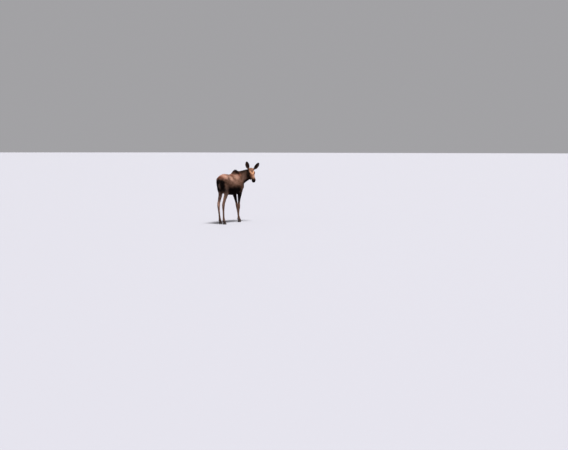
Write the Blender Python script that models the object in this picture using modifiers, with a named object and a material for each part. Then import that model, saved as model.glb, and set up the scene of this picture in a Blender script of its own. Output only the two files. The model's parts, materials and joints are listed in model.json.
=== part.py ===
"""A young cow moose, life size, standing and looking back over its right shoulder.

The animal is a still model in its summer coat. The solids are its outer shape, out to the tips of
the coat. It faces -Y, its left side is +X, and it stands on z = 0. The origin is the middle of the
footprint of the whole animal.

How it is built: the flesh is lofted and swollen from named sections, fused into one body by a voxel
remesh, smoothed and reduced. Thin cuts then part it where a person would name its parts. Eyes, ears,
tail, bell, hooves and dewclaws are pieces of their own that meet the flesh with a small gap.

Places on the body are (forward, left, up) in metres. Forward is counted from the root of the tail.
Places on the head are (along, left, above), counted from the poll, along the skull to the nose.
"""

import math

import bmesh
import bpy
from mathutils import Matrix, Vector

# ---- Driving dimensions, in metres and degrees ----
GAP = 0.0004  # clearance where two pieces meet
RING = 28  # points round a loft of the flesh
LOBE_RING = 10  # points round the bell and the tail
FUSE_VOXEL = 0.0075
CORE_EASE = 57  # smoothing steps of the trunk and neck with their muscles
LIMB_EASE = 8  # smoothing steps of the whole, once head and limbs are on
BODY_TRIANGLES = 3750

POLL = (1.550, -0.324, 1.775)
HEAD_TURN = 137  # clockwise from the body's heading, seen from above
HEAD_PITCH = 37.3  # nose below the horizon
HEAD_ROLL = 3  # towards its left ear

EYE_PLACE = (0.190, 0.087, -0.018)
EYE_RADIUS = 0.0205
EAR_LENGTHS = {"right": 0.288, "left": 0.302}
EAR_SKIN = 0.008
EAR_STRIPS = 8  # faces across an ear
EAR_ROOT = (0.026, 0.072, 0.004)

CORONET_HEIGHT = 0.062  # where the hoof wall meets the skin, at the front of the foot
CORONET_SLOPE = 20  # degrees, down towards the heel
HOOF_LENGTH = 0.135
CLAW_WIDTH = 0.052
CLEFT = 0.006

# ---- Body sections ----
# Trunk: forward, top, bottom, half width, height of the widest part, fullness above, fullness below.
# Fullness is the superellipse exponent: 2 is round, less is keeled, more is square.
TRUNK = (
    (-0.085, 1.420, 1.250, 0.045, 1.35, 2.0, 2.0),
    (-0.05, 1.500, 1.160, 0.096, 1.38, 2.2, 2.0),
    (0.03, 1.572, 1.085, 0.136, 1.41, 2.2, 2.0),
    (0.15, 1.624, 1.050, 0.164, 1.42, 2.0, 2.0),
    (0.28, 1.647, 1.005, 0.192, 1.38, 1.9, 2.1),
    (0.42, 1.639, 0.968, 0.220, 1.32, 1.85, 2.2),
    (0.57, 1.621, 0.948, 0.244, 1.27, 1.8, 2.2),
    (0.71, 1.622, 0.935, 0.255, 1.25, 1.8, 2.2),
    (0.84, 1.655, 0.928, 0.250, 1.25, 1.7, 2.1),
    (0.95, 1.727, 0.925, 0.240, 1.27, 1.5, 2.0),
    (1.04, 1.774, 0.930, 0.228, 1.29, 1.35, 2.0),
    (1.13, 1.760, 0.945, 0.216, 1.30, 1.35, 2.0),
    (1.24, 1.712, 0.992, 0.197, 1.31, 1.5, 2.0),
    (1.35, 1.640, 1.072, 0.161, 1.33, 1.8, 2.0),
    (1.445, 1.510, 1.150, 0.098, 1.31, 2.0, 2.0),
    (1.488, 1.385, 1.215, 0.034, 1.29, 2.0, 2.0),
)
# Neck: forward, left, up, half width, depth above the middle, depth below it.
NECK = (
    (1.00, 0.000, 1.410, 0.160, 0.295, 0.260),
    (1.16, 0.000, 1.440, 0.160, 0.285, 0.270),
    (1.30, -0.018, 1.468, 0.146, 0.255, 0.245),
    (1.42, -0.075, 1.515, 0.130, 0.220, 0.208),
    (1.505, -0.160, 1.565, 0.115, 0.196, 0.178),
    (1.553, -0.250, 1.612, 0.104, 0.176, 0.155),
    (1.572, -0.325, 1.645, 0.092, 0.146, 0.130),
    (1.570, -0.375, 1.655, 0.060, 0.095, 0.085),
)
# Limbs: forward, distance from the midline, up, half size fore and aft, half size across.
FORELIMB = (
    (1.200, 0.110, 1.42, 0.095, 0.055),
    (1.212, 0.122, 1.26, 0.130, 0.078),
    (1.168, 0.127, 1.12, 0.122, 0.078),
    (1.132, 0.130, 1.01, 0.104, 0.071),
    (1.127, 0.127, 0.92, 0.084, 0.061),
    (1.128, 0.117, 0.78, 0.055, 0.044),
    (1.131, 0.110, 0.64, 0.040, 0.036),
    (1.138, 0.109, 0.54, 0.046, 0.043),
    (1.136, 0.109, 0.475, 0.039, 0.037),
    (1.130, 0.108, 0.40, 0.031, 0.029),
    (1.128, 0.107, 0.27, 0.029, 0.027),
    (1.130, 0.107, 0.185, 0.034, 0.032),
    (1.138, 0.107, 0.142, 0.042, 0.040),
    (1.158, 0.107, 0.100, 0.037, 0.038),
    (1.180, 0.107, 0.058, 0.044, 0.047),
    (1.190, 0.107, 0.030, 0.046, 0.048),
)
HINDLIMB = (
    (0.190, 0.085, 1.42, 0.150, 0.062),
    (0.200, 0.100, 1.28, 0.174, 0.068),
    (0.220, 0.112, 1.15, 0.152, 0.064),
    (0.232, 0.117, 1.04, 0.112, 0.054),
    (0.207, 0.114, 0.94, 0.091, 0.048),
    (0.163, 0.111, 0.85, 0.072, 0.042),
    (0.120, 0.111, 0.76, 0.058, 0.040),
    (0.083, 0.111, 0.69, 0.051, 0.039),
    (0.068, 0.112, 0.625, 0.055, 0.043),
    (0.064, 0.112, 0.55, 0.044, 0.038),
    (0.072, 0.113, 0.44, 0.034, 0.031),
    (0.086, 0.113, 0.30, 0.031, 0.029),
    (0.096, 0.113, 0.195, 0.035, 0.033),
    (0.105, 0.113, 0.148, 0.044, 0.041),
    (0.127, 0.113, 0.104, 0.038, 0.039),
    (0.151, 0.113, 0.060, 0.045, 0.047),
    (0.161, 0.113, 0.032, 0.047, 0.048),
)
TENDON_WEB = 0.055  # how far the skin in front of the tendon reaches towards the shin
# The tendon to the point of the hock: forward, distance from the midline, up, radius.
TENDON = (
    (0.122, 0.111, 0.900, 0.034),
    (0.062, 0.111, 0.790, 0.020),
    (0.018, 0.112, 0.715, 0.017),
    (0.007, 0.112, 0.668, 0.020),
    (0.018, 0.112, 0.625, 0.020),
    (0.050, 0.112, 0.560, 0.018),
)
# Where each foot stands, forward and sideways of where the limb above hangs.
SIDES = {"left": 1, "right": -1}
STANCE = {
    ("foreleg", "left"): (0.280, -0.030),
    ("foreleg", "right"): (-0.035, -0.018),
    ("hindleg", "left"): (0.080, -0.006),
    ("hindleg", "right"): (-0.050, 0.004),
}
STANCE_PIVOT = 1.25  # height at which a limb starts to swing to its foot
PASTERN_HEIGHT = 0.15  # below this a foot moves as one

# Muscles and bones that stand out: forward, left, up, half sizes the same way, pitch in degrees.
MASSES = (
    (0.215, 0.096, 1.415, 0.200, 0.080, 0.170, 12),  # rump
    (0.080, 0.070, 1.300, 0.100, 0.062, 0.180, 6),  # back of the thigh
    (0.016, 0.070, 1.455, 0.085, 0.050, 0.080, 0),  # pin bone
    (0.340, 0.112, 1.490, 0.120, 0.060, 0.095, 0),  # hip bone
    (0.275, 0.114, 1.090, 0.110, 0.060, 0.150, -22),  # stifle
    (1.100, 0.098, 1.395, 0.135, 0.084, 0.235, -14),  # shoulder blade
    (1.080, 0.118, 1.165, 0.145, 0.086, 0.150, 28),  # upper arm
    (1.245, 0.098, 1.225, 0.130, 0.098, 0.180, 0),  # point of the shoulder
    (1.365, 0.030, 1.250, 0.122, 0.092, 0.160, 0),  # breast
)

# ---- Head sections: along, above, half width, depth above, depth below, fullness above and below ----
SKULL = (
    (-0.055, -0.075, 0.045, 0.045, 0.050, 2.0, 2.0),
    (-0.025, -0.070, 0.078, 0.085, 0.085, 2.2, 2.0),
    (0.030, -0.062, 0.092, 0.106, 0.100, 2.3, 2.0),
    (0.090, -0.060, 0.098, 0.108, 0.100, 2.4, 2.2),
    (0.150, -0.060, 0.098, 0.104, 0.090, 2.6, 2.2),
    (0.195, -0.057, 0.091, 0.096, 0.085, 2.6, 2.2),
    (0.245, -0.056, 0.078, 0.087, 0.075, 2.4, 2.2),
    (0.305, -0.056, 0.067, 0.080, 0.068, 2.3, 2.2),
    (0.362, -0.059, 0.060, 0.085, 0.066, 2.3, 2.3),
    (0.409, -0.065, 0.060, 0.096, 0.070, 2.4, 2.4),
    (0.455, -0.076, 0.063, 0.103, 0.072, 2.5, 2.6),
    (0.492, -0.087, 0.064, 0.099, 0.069, 2.6, 2.8),
    (0.522, -0.097, 0.059, 0.083, 0.058, 2.7, 2.7),
    (0.541, -0.103, 0.046, 0.061, 0.045, 2.5, 2.5),
    (0.550, -0.106, 0.022, 0.030, 0.024, 2.0, 2.0),
)
JAW = (
    (0.000, -0.150, 0.040, 0.050, 0.045, 2.0, 2.0),
    (0.040, -0.165, 0.066, 0.075, 0.062, 2.2, 2.0),
    (0.095, -0.168, 0.072, 0.085, 0.064, 2.2, 2.0),
    (0.155, -0.160, 0.067, 0.080, 0.058, 2.2, 2.0),
    (0.215, -0.151, 0.058, 0.070, 0.048, 2.2, 2.0),
    (0.275, -0.145, 0.051, 0.060, 0.041, 2.2, 2.0),
    (0.343, -0.143, 0.046, 0.050, 0.036, 2.2, 2.0),
    (0.400, -0.146, 0.043, 0.042, 0.034, 2.2, 2.0),
    (0.448, -0.152, 0.041, 0.036, 0.033, 2.2, 2.0),
    (0.477, -0.156, 0.033, 0.028, 0.026, 2.0, 2.0),
    (0.490, -0.157, 0.015, 0.014, 0.013, 2.0, 2.0),
)
# Swellings of the head: along, left, above, and half sizes the same way.
HEAD_MASSES = (
    (0.112, 0.056, -0.130, 0.088, 0.035, 0.078),  # cheek muscle
    (0.235, 0.036, -0.112, 0.120, 0.032, 0.056),  # cheek in front of it
    (0.174, 0.075, 0.006, 0.058, 0.032, 0.024),  # brow
    (0.218, 0.064, -0.048, 0.080, 0.026, 0.022),  # cheekbone in front of the eye
    (0.110, 0.084, -0.040, 0.090, 0.022, 0.026),  # cheekbone behind the eye
    (0.490, 0.044, -0.074, 0.046, 0.026, 0.046),  # flare of the nostril
    (0.004, 0.000, 0.022, 0.055, 0.066, 0.036),  # poll
)
EAR_BULB = (0.004, 0.044, 0.036)  # at the root of the ear: how far along it, half length, half width

# Ears: how far the tip points back, out and up from the head, and where the cup opens.
EARS = {
    "right": {"reach": (-0.72, 0.21, 0.65), "opening": (0.80, 0.40, 0.40)},
    "left": {"reach": (-0.40, 0.72, 0.61), "opening": (0.80, 0.25, 0.45)},
}

# An ear along its length: share of it, half the flattened width, half the angle of the cup.
EAR_ROWS = (
    (0.00, 0.066, 2.70),
    (0.12, 0.068, 2.35),
    (0.28, 0.077, 1.45),
    (0.48, 0.080, 1.05),
    (0.68, 0.071, 0.88),
    (0.84, 0.051, 0.76),
    (0.95, 0.026, 0.66),
    (1.00, 0.008, 0.58),
)
# The bell under the throat and the tail: length along it, half width, half thickness.
BELL_ROWS = (
    (0.00, 0.030, 0.018),
    (0.030, 0.032, 0.019),
    (0.065, 0.024, 0.015),
    (0.092, 0.012, 0.009),
    (0.105, 0.004, 0.004),
)
TAIL_ROWS = (
    (0.00, 0.030, 0.020),
    (0.030, 0.033, 0.020),
    (0.070, 0.028, 0.016),
    (0.100, 0.016, 0.010),
    (0.115, 0.005, 0.004),
)
BELL_ROOT = (0.085, 0.0, -0.225)  # on the head
TAIL_ROOT = (-0.060, 0.0, 1.482)  # on the body

# ---- Where the flesh is parted ----
LIMB_PARTS = {
    "foreleg": ("shoulder", "forearm", "cannon", "pastern"),
    "hindleg": ("thigh", "gaskin", "cannon", "pastern"),
}
JOINT_HEIGHTS = {"foreleg": (0.500, 0.165), "hindleg": (0.600, 0.165)}
BELLY_LEVEL = 0.925  # the legs are parted from shoulders and thighs just under the belly
MIDDLE = 0.70  # between the forelegs and the hind legs
# The round block that a shoulder or a thigh is cut out with: forward, up and radius of its top.
LIMB_REGIONS = {"foreleg": (1.13, 1.30, 0.185), "hindleg": (0.18, 1.32, 0.225)}
REGION_INSIDE = 0.035  # the block's inner face is this far from the midline at belly level
REGION_SLANT = 0.19  # and leans outward by this share of the height above it
REGION_REACH = 0.30  # its outer face is this far outside the inner one
HEAD_REGION = (-0.012, -0.170, -0.252)  # back, right and lower corner, on the head
HEAD_REACH = (0.8, 0.3, 0.3)  # front, left and upper corner
NECK_BASE = (1.30, 0.0, 1.47)
NECK_FACING = (0.90, 0.0, 0.44)

# ---- Feet: share of the height, length and width of a claw's rings, and how far they sit back ----
CLAW_RINGS = (
    (0.0, 1.0, 1.0, 0.0),
    (0.25, 0.97, 0.98, 0.003),
    (0.70, 0.82, 0.88, 0.016),
    (1.0, 0.68, 0.78, 0.026),
)
CLAW_POINTS = 14
CLAW_AHEAD = 0.012  # a claw's middle is this far in front of the foot's
CLAW_TAPER = 0.45
DEWCLAW_PLACE = (-0.070, 0.026, 0.110)  # from the foot's middle: forward, outward, up
DEWCLAW_SIZE = (0.017, 0.044)  # radius and length

COLOURS = {
    "coat": ((0.062, 0.040, 0.034, 1.0), 0.75),
    "dark_coat": ((0.024, 0.017, 0.015, 1.0), 0.75),
    "leg_coat": ((0.190, 0.150, 0.125, 1.0), 0.75),
    "horn": ((0.020, 0.017, 0.016, 1.0), 0.45),
    "eye": ((0.012, 0.007, 0.005, 1.0), 0.08),
}


# ---- Frames ----
def on_body(forward, left, up):
    """A place on the body as a point of the model."""
    return Vector((left, -forward, up))


def head_axes():
    """The head's own directions: along the nose, to its left, and out of its forehead."""
    turn, pitch, roll = (math.radians(a) for a in (HEAD_TURN, HEAD_PITCH, HEAD_ROLL))
    level = on_body(math.cos(turn), -math.sin(turn), 0)
    along = level * math.cos(pitch) - Vector((0, 0, math.sin(pitch)))
    left = Vector((0, 0, 1)).cross(level)
    tilt = Matrix.Rotation(roll, 3, along)
    left = tilt @ left
    return along, left, along.cross(left)


ALONG, LEFT, ABOVE = head_axes()


def on_head(along, left, above):
    """A place on the head as a point of the model."""
    return on_body(*POLL) + ALONG * along + LEFT * left + ABOVE * above


# ---- Lofts ----
def smoothed(stations, steps=4):
    """The stations with Catmull-Rom ones between them, so that a few sections give a smooth form."""
    rows = [Vector(row) for row in stations]
    result = []
    for i in range(len(rows) - 1):
        a, b = rows[max(i - 1, 0)], rows[i]
        c, d = rows[i + 1], rows[min(i + 2, len(rows) - 1)]
        for k in range(steps):
            t = k / steps
            bend = (2 * a - 5 * b + 4 * c - d) * t**2 + (3 * b - a - 3 * c + d) * t**3
            result.append(0.5 * (2 * b + (c - a) * t + bend))
    return result + [rows[-1]]


def rounded(value, fullness):
    """A sine or cosine bent to a superellipse of that fullness."""
    return math.copysign(abs(value) ** (2 / fullness), value)


def section(middle, side, rise, half_width, over, under, full_over=2.0, full_under=2.0, count=RING):
    """The ring of points of one section."""
    ring = []
    for i in range(count):
        turn = math.tau * i / count
        full, depth = (full_over, over) if math.sin(turn) >= 0 else (full_under, under)
        across = side * half_width * rounded(math.cos(turn), full)
        ring.append(middle + across + rise * depth * rounded(math.sin(turn), full))
    return ring


def loft(rings):
    """A closed mesh through rings of equal count, with one flat face at each end."""
    shape = bmesh.new()
    rows = [[shape.verts.new(point) for point in ring] for ring in rings]
    for low, high in zip(rows, rows[1:]):
        for i in range(len(low)):
            j = (i + 1) % len(low)
            shape.faces.new((low[i], low[j], high[j], high[i]))
    for row in (rows[0], rows[-1]):
        shape.faces.new(row)
    bmesh.ops.recalc_face_normals(shape, faces=shape.faces)
    return shape


def trunk_rings():
    """The trunk in upright slices."""
    for forward, top, bottom, half, widest, over, under in smoothed(TRUNK):
        middle = on_body(forward, 0, widest)
        above, below = top - widest, widest - bottom
        yield section(middle, Vector((1, 0, 0)), Vector((0, 0, 1)), half, above, below, over, under)


def neck_rings():
    """The neck, square to its own bend."""
    rows = smoothed(NECK)
    places = [on_body(*row[:3]) for row in rows]
    for i, row in enumerate(rows):
        run = places[min(i + 1, len(rows) - 1)] - places[max(i - 1, 0)]
        side = run.cross(Vector((0, 0, 1))).normalized()
        yield section(places[i], side, side.cross(run).normalized(), *row[3:], 1.8, 2.1)


def swing_at(up):
    """How far a limb has swung to its foot at that height, from 0 at the body to 1 at the foot."""
    return min(max((STANCE_PIVOT - up) / (STANCE_PIVOT - PASTERN_HEIGHT), 0), 1)


def limb_rings(limb, side, shift):
    """A limb, square to its own run. side is 1 for left and -1 for right."""
    ahead, outward = shift
    rows = smoothed(limb)
    places = []
    for row in rows:
        swing = swing_at(row[2])
        places.append(on_body(row[0] + ahead * swing, side * (row[1] + outward * swing), row[2]))
    for i, row in enumerate(rows):
        run = places[min(i + 1, len(rows) - 1)] - places[max(i - 1, 0)]
        across = (Vector((1, 0, 0)) - run * run.x / run.length_squared).normalized()
        yield section(places[i], across, across.cross(run).normalized(), row[4], row[3], row[3], 2.2, 2.2)


def head_rings(table):
    """The skull or the jaw, in slices square to the nose."""
    for along, above, *sizes in smoothed(table):
        yield section(on_head(along, 0, above), LEFT, ABOVE, *sizes)


def swelling(place, axes, sizes):
    """An ellipsoid at place, with its half sizes along three directions."""
    shape = bmesh.new()
    bmesh.ops.create_icosphere(shape, subdivisions=3, radius=1)
    columns = [axis * size for axis, size in zip(axes, sizes)]
    turn = Matrix(columns).transposed().to_4x4()
    turn.translation = place
    bmesh.ops.transform(shape, matrix=turn, verts=shape.verts)
    bmesh.ops.recalc_face_normals(shape, faces=shape.faces)
    return shape


def body_swellings():
    """The muscles of both sides."""
    for forward, left, up, ahead, across, tall, pitch in MASSES:
        lean = Matrix.Rotation(math.radians(pitch), 3, "X")
        axes = (lean @ Vector((0, -1, 0)), Vector((1, 0, 0)), lean @ Vector((0, 0, 1)))
        for side in (1, -1):
            yield swelling(on_body(forward, side * left, up), axes, (ahead, across, tall))


def ear_axes(side_name):
    """An ear's directions: to its tip, out of its opening, and across."""
    reach, opening = (Vector((a[0], SIDES[side_name] * a[1], a[2])) for a in EARS[side_name].values())
    run, facing = (ALONG * way.x + LEFT * way.y + ABOVE * way.z for way in (reach, opening))
    run.normalize()
    facing = (facing - run * facing.dot(run)).normalized()
    return run, facing, run.cross(facing)


def ear_root(side_name):
    """Where an ear starts, inside the head."""
    return on_head(EAR_ROOT[0], SIDES[side_name] * EAR_ROOT[1], EAR_ROOT[2])


def head_swellings():
    """The cheeks, brows, nostrils and ear roots of both sides, and the poll."""
    for along, left, above, *sizes in HEAD_MASSES:
        for side in (1, -1):
            yield swelling(on_head(along, side * left, above), (ALONG, LEFT, ABOVE), sizes)
    ahead, length, width = EAR_BULB
    for side_name in SIDES:
        axes = ear_axes(side_name)
        yield swelling(ear_root(side_name) + axes[0] * ahead, axes, (length, width, width))


def hock_rings(side, shift):
    """The tendon from the calf to the point of the hock, which stands out behind."""
    ahead, outward = shift
    for forward, out, up, radius in smoothed(TENDON, 3):
        swing = swing_at(up)
        place = on_body(forward + ahead * swing, side * (out + outward * swing), up)
        yield section(place, Vector((1, 0, 0)), Vector((0, -1, 0)), radius * 0.8, TENDON_WEB, radius)


# ---- Objects and solid operations ----
def material(name, colour, roughness):
    """A plain finish for a CAD node."""
    made = bpy.data.materials.new(name)
    made.use_nodes = True
    shader = made.node_tree.nodes["Principled BSDF"]
    shader.inputs["Base Color"].default_value = colour
    shader.inputs["Roughness"].default_value = roughness
    return made


def as_object(name, shape, collection):
    """A bmesh made into an object. The bmesh is freed."""
    mesh = bpy.data.meshes.new(name)
    shape.to_mesh(mesh)
    shape.free()
    made = bpy.data.objects.new(name, mesh)
    collection.objects.link(made)
    return made


def baked(thing):
    """Replaces an object's mesh by what its modifiers make of it."""
    graph = bpy.context.evaluated_depsgraph_get()
    mesh = bpy.data.meshes.new_from_object(thing.evaluated_get(graph))
    thing.modifiers.clear()
    thing.data = mesh
    return thing


def combined(thing, other, operation):
    """thing after an exact Boolean with other, baked."""
    step = thing.modifiers.new(operation.title(), "BOOLEAN")
    step.operation = operation
    step.object = other
    return baked(thing)


def copy_of(thing, name, collection):
    """A separate object with its own mesh."""
    made = bpy.data.objects.new(name, thing.data.copy())
    collection.objects.link(made)
    return made


def swollen(thing, name, by, collection):
    """A copy whose surface stands out by that much."""
    made = copy_of(thing, name, collection)
    step = made.modifiers.new("Swell", "DISPLACE")
    step.strength = by
    step.mid_level = 0
    return baked(made)


def discard(*things):
    """Removes helpers."""
    for thing in things:
        bpy.data.objects.remove(thing)


def fused(shapes, ease, name, collection):
    """Lofts and swellings made one smooth skin by a voxel remesh."""
    mesh = bpy.data.meshes.new(name)
    union = bmesh.new()
    for shape in shapes:
        shape.to_mesh(mesh)
        union.from_mesh(mesh)
        shape.free()
    made = as_object(name, union, collection)
    remesh = made.modifiers.new("Fuse", "REMESH")
    remesh.mode = "VOXEL"
    remesh.voxel_size = FUSE_VOXEL
    soften = made.modifiers.new("Soften", "SMOOTH")
    soften.factor = 0.5
    soften.iterations = ease
    return baked(made)


def reduced(thing, triangles):
    """A dense skin with that many triangles left."""
    fewer = thing.modifiers.new("Reduce", "DECIMATE")
    fewer.ratio = triangles / (2 * len(thing.data.polygons))
    fewer.use_collapse_triangulate = True
    return baked(thing)


def block(name, low, high, place, axes, collection):
    """A helper box between two corners, counted from place along three directions."""
    shape = bmesh.new()
    bmesh.ops.create_cube(shape, size=1)
    low, high = Vector(low), Vector(high)
    turn = Matrix(axes).transposed().to_4x4()
    turn.translation = place
    size = Matrix.Diagonal((*(high - low), 1))
    bmesh.ops.transform(shape, matrix=turn @ Matrix.Translation((low + high) / 2) @ size, verts=shape.verts)
    bmesh.ops.recalc_face_normals(shape, faces=shape.faces)
    return as_object(name, shape, collection)


def half_of(thing, name, place, facing, collection):
    """What lies in front of a plane, half a gap away from it and capped flat."""
    shape = bmesh.new()
    shape.from_mesh(thing.data)
    facing = facing.normalized()
    everything = shape.verts[:] + shape.edges[:] + shape.faces[:]
    start = place + facing * GAP / 2
    bmesh.ops.bisect_plane(shape, geom=everything, plane_co=start, plane_no=facing, clear_inner=True)
    rim = [edge for edge in shape.edges if edge.is_boundary]
    bmesh.ops.holes_fill(shape, edges=rim)
    bmesh.ops.recalc_face_normals(shape, faces=shape.faces)
    return as_object(name, shape, collection)


# ---- Parting the flesh ----
def limb_region(limb, side, grow, collection):
    """The block for a shoulder or a thigh: rounded above, with a slanted face towards the midline."""
    forward, up, radius = LIMB_REGIONS[limb]
    radius += grow
    outline = [(forward + radius, BELLY_LEVEL - 0.1), (forward - radius, BELLY_LEVEL - 0.1)]
    for i in range(10):
        turn = math.pi * (1 - i / 9)
        outline.append((forward + radius * math.cos(turn), up + radius * math.sin(turn)))
    rings = []
    for reach in (0, REGION_REACH):
        ring = []
        for ahead, height in outline:
            inner = REGION_INSIDE + (height - BELLY_LEVEL) * REGION_SLANT - grow
            ring.append(on_body(ahead, side * (inner + reach), height))
        rings.append(ring)
    return as_object("limb_region", loft(rings), collection)


def cut_out(flesh, regions, name, collection):
    """Takes a region out of the flesh as a piece of its own. regions are the smaller and larger cutter."""
    piece = copy_of(flesh, name, collection)
    combined(piece, regions[0], "INTERSECT")
    combined(flesh, regions[1], "DIFFERENCE")
    discard(*regions)
    return piece


def cut_limb_root(flesh, limb, side_name, collection, helpers):
    """A shoulder or a thigh."""
    name = f"{limb}_{side_name}_{LIMB_PARTS[limb][0]}"
    regions = [limb_region(limb, SIDES[side_name], grow, helpers) for grow in (-GAP / 2, GAP / 2)]
    return cut_out(flesh, regions, name, collection)


def cut_leg(legs, limb, side_name, collection, helpers):
    """One leg below the belly, parted at its joints from the top down."""
    ahead = 1 if limb == "foreleg" else -1
    beside = half_of(legs, "beside", Vector(), Vector((SIDES[side_name], 0, 0)), helpers)
    leg = half_of(beside, "leg", on_body(MIDDLE, 0, 0), on_body(ahead, 0, 0), helpers)
    discard(beside)
    coronet, slope = coronet_plane(limb, side_name)
    planes = [(Vector((0, 0, height)), Vector((0, 0, 1))) for height in JOINT_HEIGHTS[limb]]
    planes.append((coronet, slope))
    pieces = {}
    for part, (place, facing) in zip(LIMB_PARTS[limb][1:], planes):
        name = f"{limb}_{side_name}_{part}"
        pieces[name] = half_of(leg, name, place, facing, collection)
        rest = half_of(leg, "leg", place, -facing, helpers)
        discard(leg)
        leg = rest
    discard(leg)
    return pieces


def cut_head(flesh, collection, helpers):
    """The head, from behind the poll and above the throat."""
    regions = []
    place, axes = on_head(0, 0, 0), (ALONG, LEFT, ABOVE)
    for grow in (-GAP / 2, GAP / 2):
        low = [corner - grow for corner in HEAD_REGION]
        regions.append(block("head_region", low, HEAD_REACH, place, axes, helpers))
    return cut_out(flesh, regions, "head", collection)


# ---- Feet ----
def foot_place(limb, side_name):
    """The middle of a foot on the ground, as (forward, left)."""
    rows = FORELIMB if limb == "foreleg" else HINDLIMB
    ahead, outward = STANCE[limb, side_name]
    return rows[-1][0] + ahead, SIDES[side_name] * (rows[-1][1] + outward)


def coronet_plane(limb, side_name):
    """Where the hoof wall ends, as a point and a direction that points up the leg."""
    forward, left = foot_place(limb, side_name)
    slope = math.radians(CORONET_SLOPE)
    return on_body(forward, left, CORONET_HEIGHT), Vector((0, math.sin(slope), math.cos(slope)))


def claw_outline(length, width):
    """A claw seen from above, nearly straight along the cleft, with a round heel and a pointed toe."""
    points = []
    for i in range(CLAW_POINTS):
        turn = math.tau * i / CLAW_POINTS
        ahead, across = math.cos(turn), math.sin(turn)
        bulge = 0.9 * (1 - CLAW_TAPER * max(ahead, 0) ** 2) if across > 0 else 0.1
        points.append((length / 2 * ahead, width * (0.1 + bulge * rounded(across, 2.5))))
    return points


def add_claw(name, limb, side_name, outward, collection):
    """One claw: flat underneath, with a sloping wall up to the coronet."""
    forward, left = foot_place(limb, side_name)
    slope = math.tan(math.radians(CORONET_SLOPE))
    rings = []
    for lift, length, width, back in CLAW_RINGS:
        ring = []
        for ahead, across in claw_outline(HOOF_LENGTH * length, CLAW_WIDTH * width):
            ahead += CLAW_AHEAD - back
            top = CORONET_HEIGHT - GAP + ahead * slope
            ring.append(Vector((outward * (CLEFT / 2 + across), -ahead, lift * top)))
        rings.append(ring)
    made = as_object(name, loft(rings), collection)
    made.location = on_body(forward, left, 0)
    return made


def add_dewclaw(name, limb, side_name, outward, pastern, collection, helpers):
    """One of the two small horny claws behind the fetlock."""
    forward, left = foot_place(limb, side_name)
    back, out, up = DEWCLAW_PLACE
    radius, length = DEWCLAW_SIZE
    down = Vector((outward * 0.25, 0.45, -1)).normalized()
    tip = radius * 0.45
    shape = bmesh.new()
    bmesh.ops.create_cone(shape, cap_ends=True, segments=8, radius1=tip, radius2=radius, depth=length)
    lean = Vector((0, 0, -1)).rotation_difference(down).to_matrix()
    bmesh.ops.rotate(shape, matrix=lean, verts=shape.verts)
    bmesh.ops.translate(shape, vec=on_body(forward + back, left + outward * out, up), verts=shape.verts)
    made = as_object(name, shape, collection)
    return carved(made, [pastern], helpers)


# ---- Ears, eyes, bell and tail ----
def carved(piece, fleshes, helpers):
    """A piece cut back to where the flesh starts, with the gap between them."""
    for flesh in fleshes:
        cutter = swollen(flesh, "cutter", GAP, helpers)
        combined(piece, cutter, "DIFFERENCE")
        discard(cutter)
    return piece


def add_ear(name, side_name, fleshes, collection, helpers):
    """An ear: a cupped leaf, given its thickness, standing in the head."""
    run, facing, across = ear_axes(side_name)
    root = ear_root(side_name)
    shape = bmesh.new()
    rows = []
    for share, half_width, cup in EAR_ROWS:
        radius = half_width / cup
        spine = root + run * EAR_LENGTHS[side_name] * share
        row = []
        for i in range(EAR_STRIPS + 1):
            turn = cup * (2 * i / EAR_STRIPS - 1)
            bend = across * math.sin(turn) + facing * (1 - math.cos(turn))
            row.append(shape.verts.new(spine + radius * bend))
        rows.append(row)
    for low, high in zip(rows, rows[1:]):
        for i in range(EAR_STRIPS):
            shape.faces.new((low[i], low[i + 1], high[i + 1], high[i]))
    made = as_object(name, shape, collection)
    thick = made.modifiers.new("Thickness", "SOLIDIFY")
    thick.thickness = EAR_SKIN
    thick.offset = 0
    baked(made)
    return carved(made, fleshes, helpers)


def add_eye(name, side_name, head, collection, helpers):
    """An eyeball in a socket of its own."""
    along, left, above = EYE_PLACE
    place = on_head(along, SIDES[side_name] * left, above)
    for radius, target in ((EYE_RADIUS + GAP, helpers), (EYE_RADIUS, collection)):
        shape = bmesh.new()
        bmesh.ops.create_uvsphere(shape, u_segments=12, v_segments=7, radius=radius)
        bmesh.ops.translate(shape, vec=place, verts=shape.verts)
        made = as_object(name, shape, target)
        if target == helpers:
            combined(head, made, "DIFFERENCE")
            discard(made)
    return made


def add_tag(name, rows, root, run, side, fleshes, collection, helpers):
    """A small flat lobe that hangs from the flesh, such as the bell or the tail."""
    run = run.normalized()
    rise = side.cross(run)
    rings = []
    for far, wide, thick in smoothed(rows, 2):
        rings.append(section(root + run * far, side, rise, wide, thick, thick, count=LOBE_RING))
    return carved(as_object(name, loft(rings), collection), fleshes, helpers)


# ---- The animal ----
def core_shapes():
    """The trunk and the neck with their muscles."""
    return [loft(list(trunk_rings())), loft(list(neck_rings())), *body_swellings()]


def outer_shapes():
    """The limbs and the head."""
    shapes = [loft(list(head_rings(table))) for table in (SKULL, JAW)]
    for (limb, side_name), shift in STANCE.items():
        rows = FORELIMB if limb == "foreleg" else HINDLIMB
        shapes.append(loft(list(limb_rings(rows, SIDES[side_name], shift))))
        if limb == "hindleg":
            shapes.append(loft(list(hock_rings(SIDES[side_name], shift))))
    return shapes + list(head_swellings())


def make_flesh(helpers):
    """The whole animal but for its ears, eyes, lobes and hooves, as one skin."""
    core = fused(core_shapes(), CORE_EASE, "core", helpers)
    middle = bmesh.new()
    middle.from_mesh(core.data)
    discard(core)
    whole = fused([middle, *outer_shapes()], LIMB_EASE, "flesh", helpers)
    return reduced(whole, BODY_TRIANGLES)


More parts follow.
